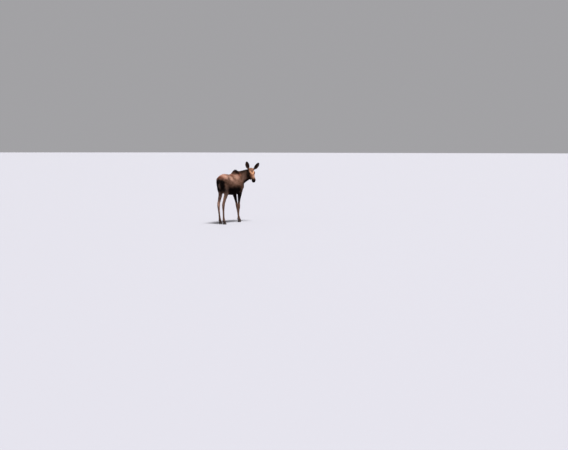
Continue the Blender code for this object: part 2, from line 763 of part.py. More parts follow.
def new_collection(name):
    """A collection in the scene."""
    made = bpy.data.collections.new(name)
    bpy.context.scene.collection.children.link(made)
    return made


def build():
    """Makes the moose and stands it on the origin."""
    for thing in list(bpy.data.objects):
        bpy.data.objects.remove(thing)
    moose, helpers = new_collection("moose"), new_collection("helpers")
    whole = make_flesh(helpers)
    belly, down = Vector((0, 0, BELLY_LEVEL)), Vector((0, 0, -1))
    below = half_of(whole, "below", belly, down, helpers)
    flesh = half_of(whole, "above", belly, -down, helpers)
    slots = {}

    legs = {}
    for limb, side_name in STANCE:
        legs |= cut_leg(below, limb, side_name, moose, helpers)
        root = cut_limb_root(flesh, limb, side_name, moose, helpers)
        slots[root.name] = "coat"
    discard(whole, below)
    head = cut_head(flesh, moose, helpers)
    base, facing = on_body(*NECK_BASE), on_body(*NECK_FACING)
    neck = half_of(flesh, "neck", base, facing, moose)
    trunk = half_of(flesh, "trunk", base, -facing, moose)
    discard(flesh)
    slots |= dict.fromkeys(("head", "neck", "trunk"), "coat")
    for name in legs:
        slots[name] = "leg_coat" if name.endswith(("cannon", "pastern")) else "coat"

    for side_name in SIDES:
        add_ear(f"ear_{side_name}", side_name, [head, neck], moose, helpers)
        add_eye(f"eye_{side_name}", side_name, head, moose, helpers)
        slots |= {f"ear_{side_name}": "dark_coat", f"eye_{side_name}": "eye"}
    backward, across = on_body(-0.43, 0, 0), Vector((1, 0, 0))
    add_tag("bell", BELL_ROWS, on_head(*BELL_ROOT), down, LEFT, [head, neck], moose, helpers)
    add_tag("tail", TAIL_ROWS, on_body(*TAIL_ROOT), down + backward, across, [trunk], moose, helpers)
    slots |= {"bell": "dark_coat", "tail": "dark_coat"}

    for limb, side_name in STANCE:
        for place, outward in (("left", 1), ("right", -1)):
            claw = f"hoof_{limb}_{side_name}_{place}_claw"
            dewclaw = f"dewclaw_{limb}_{side_name}_{place}"
            pastern = legs[f"{limb}_{side_name}_pastern"]
            add_claw(claw, limb, side_name, outward, moose)
            add_dewclaw(dewclaw, limb, side_name, outward, pastern, moose, helpers)
            slots |= {claw: "horn", dewclaw: "horn"}

    finish(moose, slots)


def finish(moose, slots):
    """Gives each piece its material and parents all to an empty that centres the footprint."""
    made = {name: material(name, *look) for name, look in COLOURS.items()}
    corners = []
    for piece in moose.objects:
        piece.data.materials.clear()
        piece.data.materials.append(made[slots[piece.name]])
        corners += [piece.location + Vector(corner) for corner in piece.bound_box]
    stand = bpy.data.objects.new("stand_point", None)
    moose.objects.link(stand)
    low = [min(corner[k] for corner in corners) for k in range(3)]
    high = [max(corner[k] for corner in corners) for k in range(3)]
    stand.location = (-(low[0] + high[0]) / 2, -(low[1] + high[1]) / 2, -low[2])
    for name in slots:
        bpy.data.objects[name].parent = stand


build()
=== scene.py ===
# %% [markdown]
# # A young cow moose, looking back
#
# This notebook builds the finished look of a life-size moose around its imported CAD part. The part
# is plain flesh, parted by thin cuts. Here it gets one skin without a seam, a short summer coat of
# about 270,000 small tufts, wet eyes with lids, hooves, and the colours of the animal.
#
# Places on the body are (forward, left, up) in metres, forward being counted from the root of the
# tail. Places on the head are (along, left, above), counted from the poll along the skull.

import json
import math

import bmesh
import bpy
import numpy as np
from mathutils import Matrix, Vector
from mathutils.bvhtree import BVHTree

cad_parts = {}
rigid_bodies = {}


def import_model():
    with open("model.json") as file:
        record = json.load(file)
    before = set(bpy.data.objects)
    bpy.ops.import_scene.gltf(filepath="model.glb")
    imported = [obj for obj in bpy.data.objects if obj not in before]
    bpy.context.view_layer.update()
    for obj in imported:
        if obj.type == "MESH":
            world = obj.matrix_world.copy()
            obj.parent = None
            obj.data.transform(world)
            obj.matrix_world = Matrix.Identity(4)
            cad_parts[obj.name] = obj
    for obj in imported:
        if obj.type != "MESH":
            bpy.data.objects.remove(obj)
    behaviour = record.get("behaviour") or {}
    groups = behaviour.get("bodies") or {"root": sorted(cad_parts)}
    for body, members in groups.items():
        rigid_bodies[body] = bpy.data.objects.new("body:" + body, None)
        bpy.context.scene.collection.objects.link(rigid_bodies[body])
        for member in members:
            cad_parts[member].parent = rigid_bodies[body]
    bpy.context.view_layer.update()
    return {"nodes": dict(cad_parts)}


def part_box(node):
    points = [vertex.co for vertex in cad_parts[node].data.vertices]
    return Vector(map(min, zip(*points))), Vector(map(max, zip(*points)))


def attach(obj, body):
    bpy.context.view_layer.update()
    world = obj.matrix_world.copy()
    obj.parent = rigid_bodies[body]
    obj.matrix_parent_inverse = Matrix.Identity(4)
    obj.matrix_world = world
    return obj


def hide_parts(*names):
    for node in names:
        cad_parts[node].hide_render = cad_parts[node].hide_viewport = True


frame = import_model()
CHANCE = np.random.default_rng(7)

# %% [markdown]
# ## Where things are
#
# All forms below are written on the animal itself. To place them in the model, one known point is
# enough: an eyeball is a plain ball in the CAD part, so the middle of its box is its centre.
# The head's own three directions follow from how far it turns, dips and rolls.

# %% Body and head coordinates
POLL = (1.550, -0.324, 1.775)
HEAD_TURN = 137  # degrees clockwise from the body's heading, seen from above
HEAD_PITCH = 37.3
HEAD_ROLL = 3
EYE_PLACE = (0.190, 0.087, -0.018)
EYE_RADIUS = 0.0205
SIDES = {"left": 1, "right": -1}
FORWARD, LEFTWARD, UPWARD = Vector((0, -1, 0)), Vector((1, 0, 0)), Vector((0, 0, 1))


def body_way(forward, left, up):
    """A direction on the body as a direction of the model."""
    return FORWARD * forward + LEFTWARD * left + UPWARD * up


def head_axes():
    """Along the nose, to the head's left, and out of its forehead."""
    turn, pitch, roll = (math.radians(a) for a in (HEAD_TURN, HEAD_PITCH, HEAD_ROLL))
    level = body_way(math.cos(turn), -math.sin(turn), 0)
    along = level * math.cos(pitch) - UPWARD * math.sin(pitch)
    left = Matrix.Rotation(roll, 3, along) @ UPWARD.cross(level)
    return along, left, along.cross(left)


ALONG, LEFT, ABOVE = head_axes()


def head_way(along, left, above):
    """A direction on the head as a direction of the model."""
    return ALONG * along + LEFT * left + ABOVE * above


low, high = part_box("eye_left")
ORIGIN = (low + high) / 2 - body_way(*POLL) - head_way(*EYE_PLACE)


def on_body(forward, left, up):
    """A place on the body as a point of the model."""
    return ORIGIN + body_way(forward, left, up)


def on_head(along, left, above):
    """A place on the head as a point of the model."""
    return on_body(*POLL) + head_way(along, left, above)


def told_from(points, origin, axes):
    """Points of the model as numbers along three axes, one column for each."""
    return (points - np.array(origin)) @ np.array([list(axis) for axis in axes]).T


print("origin of the body:", [round(x, 4) for x in ORIGIN])

# %% [markdown]
# ## The form, section by section
#
# A moose has a deep chest, high withers, a sloping rump and long thin legs. Its shape could be
# sculpted by hand, but then nobody could change it by a number. So it is lofted: each row is a
# slice with a height and a width, and curves between the rows fill in the rest. Muscles and bones
# that stand out are egg shapes sunk in the slices.

# %% Sections of the trunk and the neck
# Trunk: forward, top, bottom, half width, height of the widest part, fullness above and below.
TRUNK = (
    (-0.085, 1.420, 1.250, 0.045, 1.35, 2.0, 2.0),
    (-0.05, 1.500, 1.160, 0.096, 1.38, 2.2, 2.0),
    (0.03, 1.572, 1.085, 0.136, 1.41, 2.2, 2.0),
    (0.15, 1.624, 1.050, 0.164, 1.42, 2.0, 2.0),
    (0.28, 1.647, 1.005, 0.192, 1.38, 1.9, 2.1),
    (0.42, 1.639, 0.968, 0.220, 1.32, 1.85, 2.2),
    (0.57, 1.621, 0.948, 0.244, 1.27, 1.8, 2.2),
    (0.71, 1.622, 0.935, 0.255, 1.25, 1.8, 2.2),
    (0.84, 1.655, 0.928, 0.250, 1.25, 1.7, 2.1),
    (0.95, 1.727, 0.925, 0.240, 1.27, 1.5, 2.0),
    (1.04, 1.774, 0.930, 0.228, 1.29, 1.35, 2.0),
    (1.13, 1.760, 0.945, 0.216, 1.30, 1.35, 2.0),
    (1.24, 1.712, 0.992, 0.197, 1.31, 1.5, 2.0),
    (1.35, 1.640, 1.072, 0.161, 1.33, 1.8, 2.0),
    (1.445, 1.510, 1.150, 0.098, 1.31, 2.0, 2.0),
    (1.488, 1.385, 1.215, 0.034, 1.29, 2.0, 2.0),
)
# Neck: forward, left, up, half width, depth above the middle, depth below it.
NECK = (
    (1.00, 0.000, 1.410, 0.160, 0.295, 0.260),
    (1.16, 0.000, 1.440, 0.160, 0.285, 0.270),
    (1.30, -0.018, 1.468, 0.146, 0.255, 0.245),
    (1.42, -0.075, 1.515, 0.130, 0.220, 0.208),
    (1.505, -0.160, 1.565, 0.115, 0.196, 0.178),
    (1.553, -0.250, 1.612, 0.104, 0.176, 0.155),
    (1.572, -0.325, 1.645, 0.092, 0.146, 0.130),
    (1.570, -0.375, 1.655, 0.060, 0.095, 0.085),
)
# Muscles and bones that stand out: forward, left, up, half sizes the same way, pitch in degrees.
MASSES = (
    (0.215, 0.096, 1.415, 0.200, 0.080, 0.170, 12),  # rump
    (0.080, 0.070, 1.300, 0.100, 0.062, 0.180, 6),  # back of the thigh
    (0.016, 0.070, 1.455, 0.085, 0.050, 0.080, 0),  # pin bone
    (0.340, 0.112, 1.490, 0.120, 0.060, 0.095, 0),  # hip bone
    (0.275, 0.114, 1.090, 0.110, 0.060, 0.150, -22),  # stifle
    (1.100, 0.098, 1.395, 0.135, 0.084, 0.235, -14),  # shoulder blade
    (1.080, 0.118, 1.165, 0.145, 0.086, 0.150, 28),  # upper arm
    (1.245, 0.098, 1.225, 0.130, 0.098, 0.180, 0),  # point of the shoulder
    (1.365, 0.030, 1.250, 0.122, 0.092, 0.160, 0),  # breast
)

# %% Sections of the limbs
# Limbs: forward, distance from the midline, up, half size fore and aft, half size across.
FORELIMB = (
    (1.200, 0.110, 1.42, 0.095, 0.055),
    (1.212, 0.122, 1.26, 0.130, 0.078),
    (1.168, 0.127, 1.12, 0.122, 0.078),
    (1.132, 0.130, 1.01, 0.104, 0.071),
    (1.127, 0.127, 0.92, 0.084, 0.061),
    (1.128, 0.117, 0.78, 0.055, 0.044),
    (1.131, 0.110, 0.64, 0.040, 0.036),
    (1.138, 0.109, 0.54, 0.046, 0.043),
    (1.136, 0.109, 0.475, 0.039, 0.037),
    (1.130, 0.108, 0.40, 0.031, 0.029),
    (1.128, 0.107, 0.27, 0.029, 0.027),
    (1.130, 0.107, 0.185, 0.034, 0.032),
    (1.138, 0.107, 0.142, 0.042, 0.040),
    (1.158, 0.107, 0.100, 0.037, 0.038),
    (1.180, 0.107, 0.058, 0.044, 0.047),
    (1.190, 0.107, 0.030, 0.046, 0.048),
)
HINDLIMB = (
    (0.190, 0.085, 1.42, 0.150, 0.062),
    (0.200, 0.100, 1.28, 0.174, 0.068),
    (0.220, 0.112, 1.15, 0.152, 0.064),
    (0.232, 0.117, 1.04, 0.112, 0.054),
    (0.207, 0.114, 0.94, 0.091, 0.048),
    (0.163, 0.111, 0.85, 0.072, 0.042),
    (0.120, 0.111, 0.76, 0.058, 0.040),
    (0.083, 0.111, 0.69, 0.051, 0.039),
    (0.068, 0.112, 0.625, 0.055, 0.043),
    (0.064, 0.112, 0.55, 0.044, 0.038),
    (0.072, 0.113, 0.44, 0.034, 0.031),
    (0.086, 0.113, 0.30, 0.031, 0.029),
    (0.096, 0.113, 0.195, 0.035, 0.033),
    (0.105, 0.113, 0.148, 0.044, 0.041),
    (0.127, 0.113, 0.104, 0.038, 0.039),
    (0.151, 0.113, 0.060, 0.045, 0.047),
    (0.161, 0.113, 0.032, 0.047, 0.048),
)
LIMBS = {"foreleg": FORELIMB, "hindleg": HINDLIMB}
# The tendon to the point of the hock: forward, distance from the midline, up, radius.
TENDON = (
    (0.122, 0.111, 0.900, 0.034),
    (0.062, 0.111, 0.790, 0.020),
    (0.018, 0.112, 0.715, 0.017),
    (0.007, 0.112, 0.668, 0.020),
    (0.018, 0.112, 0.625, 0.020),
    (0.050, 0.112, 0.560, 0.018),
)
TENDON_WEB = 0.055  # how far its web of skin reaches ahead
# Where each foot stands, forward and sideways of where the limb above hangs.
STANCE = {
    ("foreleg", "left"): (0.280, -0.030),
    ("foreleg", "right"): (-0.035, -0.018),
    ("hindleg", "left"): (0.080, -0.006),
    ("hindleg", "right"): (-0.050, 0.004),
}
STANCE_PIVOT = 1.25  # height at which a limb starts to swing to its foot
PASTERN_HEIGHT = 0.15  # below this a foot moves as one

# %% Sections of the head
# Head: along, above, half width, depth above, depth below, fullness above and below.
SKULL = (
    (-0.055, -0.075, 0.045, 0.045, 0.050, 2.0, 2.0),
    (-0.025, -0.070, 0.078, 0.085, 0.085, 2.2, 2.0),
    (0.030, -0.062, 0.092, 0.106, 0.100, 2.3, 2.0),
    (0.090, -0.060, 0.098, 0.108, 0.100, 2.4, 2.2),
    (0.150, -0.060, 0.098, 0.104, 0.090, 2.6, 2.2),
    (0.195, -0.057, 0.091, 0.096, 0.085, 2.6, 2.2),
    (0.245, -0.056, 0.078, 0.087, 0.075, 2.4, 2.2),
    (0.305, -0.056, 0.067, 0.080, 0.068, 2.3, 2.2),
    (0.362, -0.059, 0.060, 0.085, 0.066, 2.3, 2.3),
    (0.409, -0.065, 0.060, 0.096, 0.070, 2.4, 2.4),
    (0.455, -0.076, 0.063, 0.103, 0.072, 2.5, 2.6),
    (0.492, -0.087, 0.064, 0.099, 0.069, 2.6, 2.8),
    (0.522, -0.097, 0.059, 0.083, 0.058, 2.7, 2.7),
    (0.541, -0.103, 0.046, 0.061, 0.045, 2.5, 2.5),
    (0.550, -0.106, 0.022, 0.030, 0.024, 2.0, 2.0),
)
JAW = (
    (0.000, -0.150, 0.040, 0.050, 0.045, 2.0, 2.0),
    (0.040, -0.165, 0.066, 0.075, 0.062, 2.2, 2.0),
    (0.095, -0.168, 0.072, 0.085, 0.064, 2.2, 2.0),
    (0.155, -0.160, 0.067, 0.080, 0.058, 2.2, 2.0),
    (0.215, -0.151, 0.058, 0.070, 0.048, 2.2, 2.0),
    (0.275, -0.145, 0.051, 0.060, 0.041, 2.2, 2.0),
    (0.343, -0.143, 0.046, 0.050, 0.036, 2.2, 2.0),
    (0.400, -0.146, 0.043, 0.042, 0.034, 2.2, 2.0),
    (0.448, -0.152, 0.041, 0.036, 0.033, 2.2, 2.0),
    (0.477, -0.156, 0.033, 0.028, 0.026, 2.0, 2.0),
    (0.490, -0.157, 0.015, 0.014, 0.013, 2.0, 2.0),
)
# Swellings of the head: along, left, above, and half sizes the same way.
HEAD_MASSES = (
    (0.112, 0.056, -0.130, 0.088, 0.035, 0.078),  # cheek muscle
    (0.235, 0.036, -0.112, 0.120, 0.032, 0.056),  # cheek in front of it
    (0.174, 0.075, 0.006, 0.058, 0.032, 0.024),  # brow
    (0.218, 0.064, -0.048, 0.080, 0.026, 0.022),  # cheekbone in front of the eye
    (0.110, 0.084, -0.040, 0.090, 0.022, 0.026),  # cheekbone behind the eye
    (0.490, 0.044, -0.074, 0.046, 0.026, 0.046),  # flare of the nostril
    (0.004, 0.000, 0.022, 0.055, 0.066, 0.036),  # poll
)
EAR_ROOT = (0.026, 0.072, 0.004)
EAR_BULB = (0.004, 0.044, 0.036)  # at the root: how far along the ear, half length, half width
EAR_LENGTHS = {"right": 0.288, "left": 0.302}
EAR_SKIN = 0.008
# Ears: how far the tip points back, out and up from the head, and where the cup opens.
EARS = {
    "right": {"reach": (-0.72, 0.21, 0.65), "opening": (0.80, 0.40, 0.40)},
    "left": {"reach": (-0.40, 0.72, 0.61), "opening": (0.80, 0.25, 0.45)},
}
# An ear along its length: share of it, half the flattened width, half the angle of the cup.
EAR_ROWS = (
    (0.00, 0.066, 2.70),
    (0.12, 0.068, 2.35),
    (0.28, 0.077, 1.45),
    (0.48, 0.080, 1.05),
    (0.68, 0.071, 0.88),
    (0.84, 0.051, 0.76),
    (0.95, 0.026, 0.66),
    (1.00, 0.008, 0.58),
)
# The bell under the throat and the tail: length along it, half width, half thickness.
BELL_ROWS = (
    (0.00, 0.030, 0.018),
    (0.030, 0.032, 0.019),
    (0.065, 0.024, 0.015),
    (0.092, 0.012, 0.009),
    (0.105, 0.004, 0.004),
)
TAIL_ROWS = (
    (0.00, 0.030, 0.020),
    (0.030, 0.033, 0.020),
    (0.070, 0.028, 0.016),
    (0.100, 0.016, 0.010),
    (0.115, 0.005, 0.004),
)
BELL_ROOT = (0.085, 0.0, -0.225)  # on the head
TAIL_ROOT = (-0.060, 0.0, 1.482)  # on the body
TAIL_RUN = (-0.43, 0, -1)  # the way it hangs

# %% [markdown]
# ## Lofting
#
# A loft is a tube of quads through rings with equal counts of points. The rings between the rows
# come from a Catmull-Rom curve, which passes through each row and never leaves a corner there.

# %% Loft helpers
RING = 36


def smoothed(stations, steps=4):
    """The stations with Catmull-Rom ones between them."""
    rows = [Vector(row) for row in stations]
    result = []
    for i in range(len(rows) - 1):
        a, b = rows[max(i - 1, 0)], rows[i]
        c, d = rows[i + 1], rows[min(i + 2, len(rows) - 1)]
        for k in range(steps):
            t = k / steps
            bend = (2 * a - 5 * b + 4 * c - d) * t**2 + (3 * b - a - 3 * c + d) * t**3
            result.append(0.5 * (2 * b + (c - a) * t + bend))
    return result + [rows[-1]]


def rounded(value, fullness):
    """A sine or cosine bent to a superellipse: 2 is round, less is keeled, more is square."""
    return math.copysign(abs(value) ** (2 / fullness), value)


def section(middle, side, rise, half_width, over, under, full_over=2.0, full_under=2.0):
    """The ring of points of one section."""
    ring = []
    for i in range(RING):
        turn = math.tau * i / RING
        full, depth = (full_over, over) if math.sin(turn) >= 0 else (full_under, under)
        across = side * half_width * rounded(math.cos(turn), full)
        ring.append(middle + across + rise * depth * rounded(math.sin(turn), full))
    return ring


def loft(rings):
    """A closed mesh through rings of equal count, capped at both ends."""
    shape = bmesh.new()
    rows = [[shape.verts.new(point) for point in ring] for ring in rings]
    for near, far in zip(rows, rows[1:]):
        for i in range(len(near)):
            j = (i + 1) % len(near)
            shape.faces.new((near[i], near[j], far[j], far[i]))
    for row in (rows[0], rows[-1]):
        shape.faces.new(row)
    bmesh.ops.recalc_face_normals(shape, faces=shape.faces)
    return shape


def swelling(place, axes, sizes):
    """An egg shape at a place, with its half sizes along three directions."""
    shape = bmesh.new()
    bmesh.ops.create_icosphere(shape, subdivisions=4, radius=1)
    turn = Matrix([axis * size for axis, size in zip(axes, sizes)]).transposed().to_4x4()
    turn.translation = place
    bmesh.ops.transform(shape, matrix=turn, verts=shape.verts)
    bmesh.ops.recalc_face_normals(shape, faces=shape.faces)
    return shape


# %% Trunk, neck and muscles
def trunk_rings():
    """The trunk in upright slices."""
    for forward, top, bottom, half, widest, over, under in smoothed(TRUNK):
        middle = on_body(forward, 0, widest)
        yield section(middle, LEFTWARD, UPWARD, half, top - widest, widest - bottom, over, under)


def run_at(places, i):
    """The direction of a chain of places at one of them."""
    return places[min(i + 1, len(places) - 1)] - places[max(i - 1, 0)]


def neck_rings():
    """The neck, square to its own bend."""
    rows = smoothed(NECK)
    places = [on_body(*row[:3]) for row in rows]
    for i, row in enumerate(rows):
        run = run_at(places, i)
        side = run.cross(UPWARD).normalized()
        yield section(places[i], side, side.cross(run).normalized(), *row[3:], 1.8, 2.1)


def body_swellings():
    """The muscles of both sides."""
    for forward, left, up, ahead, across, tall, pitch in MASSES:
        lean = Matrix.Rotation(math.radians(pitch), 3, "X")
        axes = (lean @ FORWARD, LEFTWARD, lean @ UPWARD)
        for side in SIDES.values():
            yield swelling(on_body(forward, side * left, up), axes, (ahead, across, tall))


# %% Legs
def swing_at(up):
    """How far a limb has swung to its foot at that height, from 0 at the body to 1 at the foot."""
    return min(max((STANCE_PIVOT - up) / (STANCE_PIVOT - PASTERN_HEIGHT), 0), 1)


def limb_rings(rows, side, shift):
    """A limb, square to its own run."""
    ahead, outward = shift
    rows = smoothed(rows)
    places = []
    for row in rows:
        swing = swing_at(row[2])
        places.append(on_body(row[0] + ahead * swing, side * (row[1] + outward * swing), row[2]))
    for i, row in enumerate(rows):
        run = run_at(places, i)
        across = (LEFTWARD - run * run.x / run.length_squared).normalized()
        rise = across.cross(run).normalized()
        yield section(places[i], across, rise, row[4], row[3], row[3], 2.2, 2.2)


def hock_rings(side, shift):
    """The tendon from the calf to the point of the hock, which stands out behind."""
    ahead, outward = shift
    for forward, out, up, radius in smoothed(TENDON, 3):
        swing = swing_at(up)
        place = on_body(forward + ahead * swing, side * (out + outward * swing), up)
        yield section(place, LEFTWARD, FORWARD, radius * 0.8, TENDON_WEB, radius)


# %% Head and ears
def head_rings(table):
    """The skull or the jaw, in slices square to the nose."""
    for along, above, *sizes in smoothed(table):
        yield section(on_head(along, 0, above), LEFT, ABOVE, *sizes)


def ear_axes(side_name):
    """An ear's directions: to its tip, out of its opening, and across."""
    ways = [(a[0], SIDES[side_name] * a[1], a[2]) for a in EARS[side_name].values()]
    run, facing = (head_way(*way).normalized() for way in ways)
    facing = (facing - run * facing.dot(run)).normalized()
    return run, facing, run.cross(facing)


def ear_root(side_name):
    """Where an ear starts, inside the head."""
    return on_head(EAR_ROOT[0], SIDES[side_name] * EAR_ROOT[1], EAR_ROOT[2])


def head_swellings():
    """The cheeks, brows, nostrils and ear roots of both sides, and the poll."""
    for along, left, above, *sizes in HEAD_MASSES:
        for side in SIDES.values():
            yield swelling(on_head(along, side * left, above), (ALONG, LEFT, ABOVE), sizes)
    ahead, length, width = EAR_BULB
    for side_name in SIDES:
        axes = ear_axes(side_name)
        yield swelling(ear_root(side_name) + axes[0] * ahead, axes, (length, width, width))


def ear_leaf(side_name):
    """An ear as a cupped leaf with its thickness, closed all round."""
    run, facing, across = ear_axes(side_name)
    root = ear_root(side_name)
    strips = 20
    rings = []
    for share, half_width, cup in smoothed(EAR_ROWS, 5):
        radius = half_width / cup
        spine = root + run * EAR_LENGTHS[side_name] * share
        ring = []
        for layer in (0, 1):
            reach = radius + EAR_SKIN * (0.5 - layer)
            for i in range(strips + 1):
                turn = cup * (2 * (i if layer else strips - i) / strips - 1)
                aside = across * reach * math.sin(turn)
                ring.append(spine + aside + facing * (radius - reach * math.cos(turn)))
        rings.append(ring)
    return loft(rings)


def hanging_lobe(rows, root, run, side):
    """A small flat lobe that hangs from the flesh: the core of the bell or of the tail."""
    run = run.normalized()
    rings = []
    for far, wide, thick in smoothed(rows, 3):
        rings.append(section(root + run * far, side, side.cross(run), wide, thick, thick))
    return loft(rings)


# %% [markdown]
# ## One skin
#
# Loose lofts and eggs show a crease wherever two of them meet. A voxel remesh turns them into one
# closed skin, and a smoothing after it lets muscles run into each other as they do under a hide.
# That is done in three steps, since the broad trunk bears much more smoothing than the head, and
# the thin ears bear almost none.

# %% Remesh helpers
def as_object(name, shape):
    """A bmesh made into an object of the scene. The bmesh is freed."""
    mesh = bpy.data.meshes.new(name)
    shape.to_mesh(mesh)
    shape.free()
    made = bpy.data.objects.new(name, mesh)
    bpy.context.scene.collection.objects.link(made)
    return made


def with_modifiers(thing, steps):
    """Replaces an object's mesh by what a list of (kind, settings) modifiers makes of it."""
    for kind, settings in steps:
        step = thing.modifiers.new(kind.title(), kind)
        for key, value in settings.items():
            setattr(step, key, value)
    graph = bpy.context.evaluated_depsgraph_get()
    mesh = bpy.data.meshes.new_from_object(thing.evaluated_get(graph))
    thing.modifiers.clear()
    thing.data = mesh
    return thing


def fused(shapes, voxel, ease):
    """Shapes made one smooth skin, handed on as a bmesh."""
    mesh = bpy.data.meshes.new("fused")
    union = bmesh.new()
    for shape in shapes:
        shape.to_mesh(mesh)
        union.from_mesh(mesh)
        shape.free()
    steps = [("REMESH", {"mode": "VOXEL", "voxel_size": voxel})]
    steps.append(("SMOOTH", {"factor": 0.5, "iterations": ease}))
    made = with_modifiers(as_object("fused", union), steps)
    result = bmesh.new()
    result.from_mesh(made.data)
    bpy.data.objects.remove(made)
    return result


# %% Fuse the body
# Each step: the size of a voxel, and how many rounds of smoothing follow.
BROAD_FORMS, HEAD_AND_LEGS, THIN_PARTS = (0.0070, 66), (0.0052, 16), (0.0046, 3)

core = [loft(list(trunk_rings())), loft(list(neck_rings())), *body_swellings()]
core = fused(core, *BROAD_FORMS)
outer = [loft(list(head_rings(table))) for table in (SKULL, JAW)] + list(head_swellings())
for (limb, side_name), shift in STANCE.items():
    outer.append(loft(list(limb_rings(LIMBS[limb], SIDES[side_name], shift))))
    if limb == "hindleg":
        outer.append(loft(list(hock_rings(SIDES[side_name], shift))))
whole = fused([core, *outer], *HEAD_AND_LEGS)
thin = [ear_leaf(side_name) for side_name in SIDES]
thin.append(hanging_lobe(BELL_ROWS, on_head(*BELL_ROOT), -UPWARD, LEFT))
thin.append(hanging_lobe(TAIL_ROWS, on_body(*TAIL_ROOT), body_way(*TAIL_RUN), LEFTWARD))
whole = fused([whole, *thin], *THIN_PARTS)
print("fused skin:", len(whole.verts), "points")

# %% [markdown]
# ## Room for the coat
#
# The CAD part is the outline of the hair, so the skin has to lie inside it by the depth of the
# coat. That depth is about 1 mm on the ears, 3 mm on head and legs, 6.5 mm on the body, and up to
# 18 mm on the crest of withers and neck. Every point is told in body and head coordinates once,
# and plain functions of those say where it is.

# %% Reading points in the animal's own coordinates
BODY_AXES = (FORWARD, LEFTWARD, UPWARD)
HEAD_AXES = (ALONG, LEFT, ABOVE)


def points_of(mesh):
    """A mesh's points as an array."""
    flat = np.empty(len(mesh.vertices) * 3)
    mesh.vertices.foreach_get("co", flat)
    return flat.reshape(-1, 3)


def normals_of(mesh):
    """A mesh's smooth normals as an array."""
    flat = np.empty(len(mesh.vertices) * 3)
    mesh.vertex_normals.foreach_get("vector", flat)
    return flat.reshape(-1, 3)


def triangles_of(mesh):
    """The corners of a mesh of triangles, as an array."""
    flat = np.empty(len(mesh.polygons) * 3, dtype=np.int32)
    mesh.polygons.foreach_get("vertices", flat)
    return flat.reshape(-1, 3)


def move_points(mesh, points):
    """Puts an array of points back into the mesh."""
    mesh.vertices.foreach_set("co", points.ravel())
    mesh.update()


def ramp(low, high, value):
    """0 below low, 1 above high, smooth between them. low may be the larger one."""
    t = np.clip((value - low) / (high - low), 0, 1)
    return t * t * (3 - 2 * t)


def hump(value, middle, half):
    """1 in the middle and 0 half a width away."""
    return ramp(1, 0, np.abs(value - middle) / half)


class Where:
    """Points told in every way that the coat and its colours need."""

    def __init__(self, points):
        self.points = points
        self.forward, self.left, self.up = told_from(points, ORIGIN, BODY_AXES).T
        self.along, self.aside, self.above = told_from(points, on_head(0, 0, 0), HEAD_AXES).T
        self.wide = np.abs(self.aside)
        self.far_out = np.abs(self.left)
        self.head = self.head_share()
        self.ear, self.ear_reach, self.ear_edge, self.ear_inside, self.ear_flank = self.ear_shares()
        self.leg = ramp(0.99, 0.86, self.up) * (1 - self.head)
        self.neck_run, self.neck_far, self.neck_high, neck_near = self.neck_shares()
        self.neck = ramp(1.16, 1.34, self.forward) * neck_near * (1 - self.head)
        self.neck *= ramp(1.02, 1.2, self.up)

    def head_share(self):
        """1 on the head, 0 behind the poll and below the throat."""
        share = ramp(-0.045, 0.02, self.along) * ramp(0.66, 0.60, self.along)
        over_throat = self.above - 0.02 * ramp(0.1, 0.3, self.along)
        return share * ramp(-0.26, -0.22, over_throat) * ramp(0.19, 0.15, self.wide)

    def ear_shares(self):
        """How far a point is of an ear, along it, near its rim, inside its cup, and its side."""
        share = np.zeros(len(self.points))
        reach, edge, inside, flank = share.copy(), share.copy(), share.copy(), share.copy()
        shares, widths, cups = np.array(EAR_ROWS).T
        for side_name in SIDES:
            told = told_from(self.points, ear_root(side_name), ear_axes(side_name))
            far, open_way, over = told.T
            far = far / EAR_LENGTHS[side_name]
            half, cup = np.interp(far, shares, widths), np.interp(far, shares, cups)
            radius = half / cup
            from_axis = np.hypot(radius - open_way, over)
            turn = np.arctan2(np.abs(over), radius - open_way)
            here = ramp(0.13, 0.24, far) * (far < 1.1) * (np.abs(from_axis - radius) < 0.022)
            here *= turn < cup + 0.5
            share = np.maximum(share, here)
            reach = np.where(here > 0, far, reach)
            edge = np.where(here > 0, ramp(0.60, 0.95, turn / cup), edge)
            flank = np.where(here > 0, np.sign(over), flank)
            inside = np.where(here > 0, (from_axis < radius).astype(float), inside)
        return share, reach, edge, inside, flank

    def neck_shares(self):
        """The neck's run at a point, how far along, how high on its section, and whether near."""
        rows = smoothed(NECK)
        chain = [on_body(*row[:3]) for row in rows]
        runs = [run_at(chain, i).normalized() for i in range(len(rows))]
        rises = np.array([side_up(run) for run in runs])
        places, runs = np.array(chain), np.array(runs)
        spans = np.concatenate([[0], np.cumsum(np.linalg.norm(np.diff(places, axis=0), axis=1))])
        gaps = np.linalg.norm(self.points[:, None, :] - places[None], axis=2)
        nearest = gaps.argmin(axis=1)
        offset = self.points - places[nearest]
        far = spans[nearest] + np.einsum("ij,ij->i", offset, runs[nearest])
        depth = np.array([(row[4] + row[5]) / 2 for row in rows])[nearest]
        high = np.einsum("ij,ij->i", offset, rises[nearest]) / depth
        return runs[nearest], far, high, (gaps.min(axis=1) < 0.34).astype(float)


def side_up(run):
    """Up, square to a run."""
    return run.cross(UPWARD).cross(run).normalized()


# %% Depth of the coat
BODY_COAT, CREST_COAT, SHORT_COAT, EAR_COAT = 0.0065, 0.0120, 0.0030, 0.0009


def crest(where):
    """The mane: 1 on the ridge of the withers and on the crest of the neck."""
    trunk = hump(where.forward, 1.06, 0.34) * ramp(0.085, 0.02, where.far_out)
    trunk = trunk * ramp(1.57, 1.64, where.up)
    neck = where.neck * ramp(0.62, 0.92, where.neck_high)
    return np.maximum(trunk, neck) * (1 - where.head)


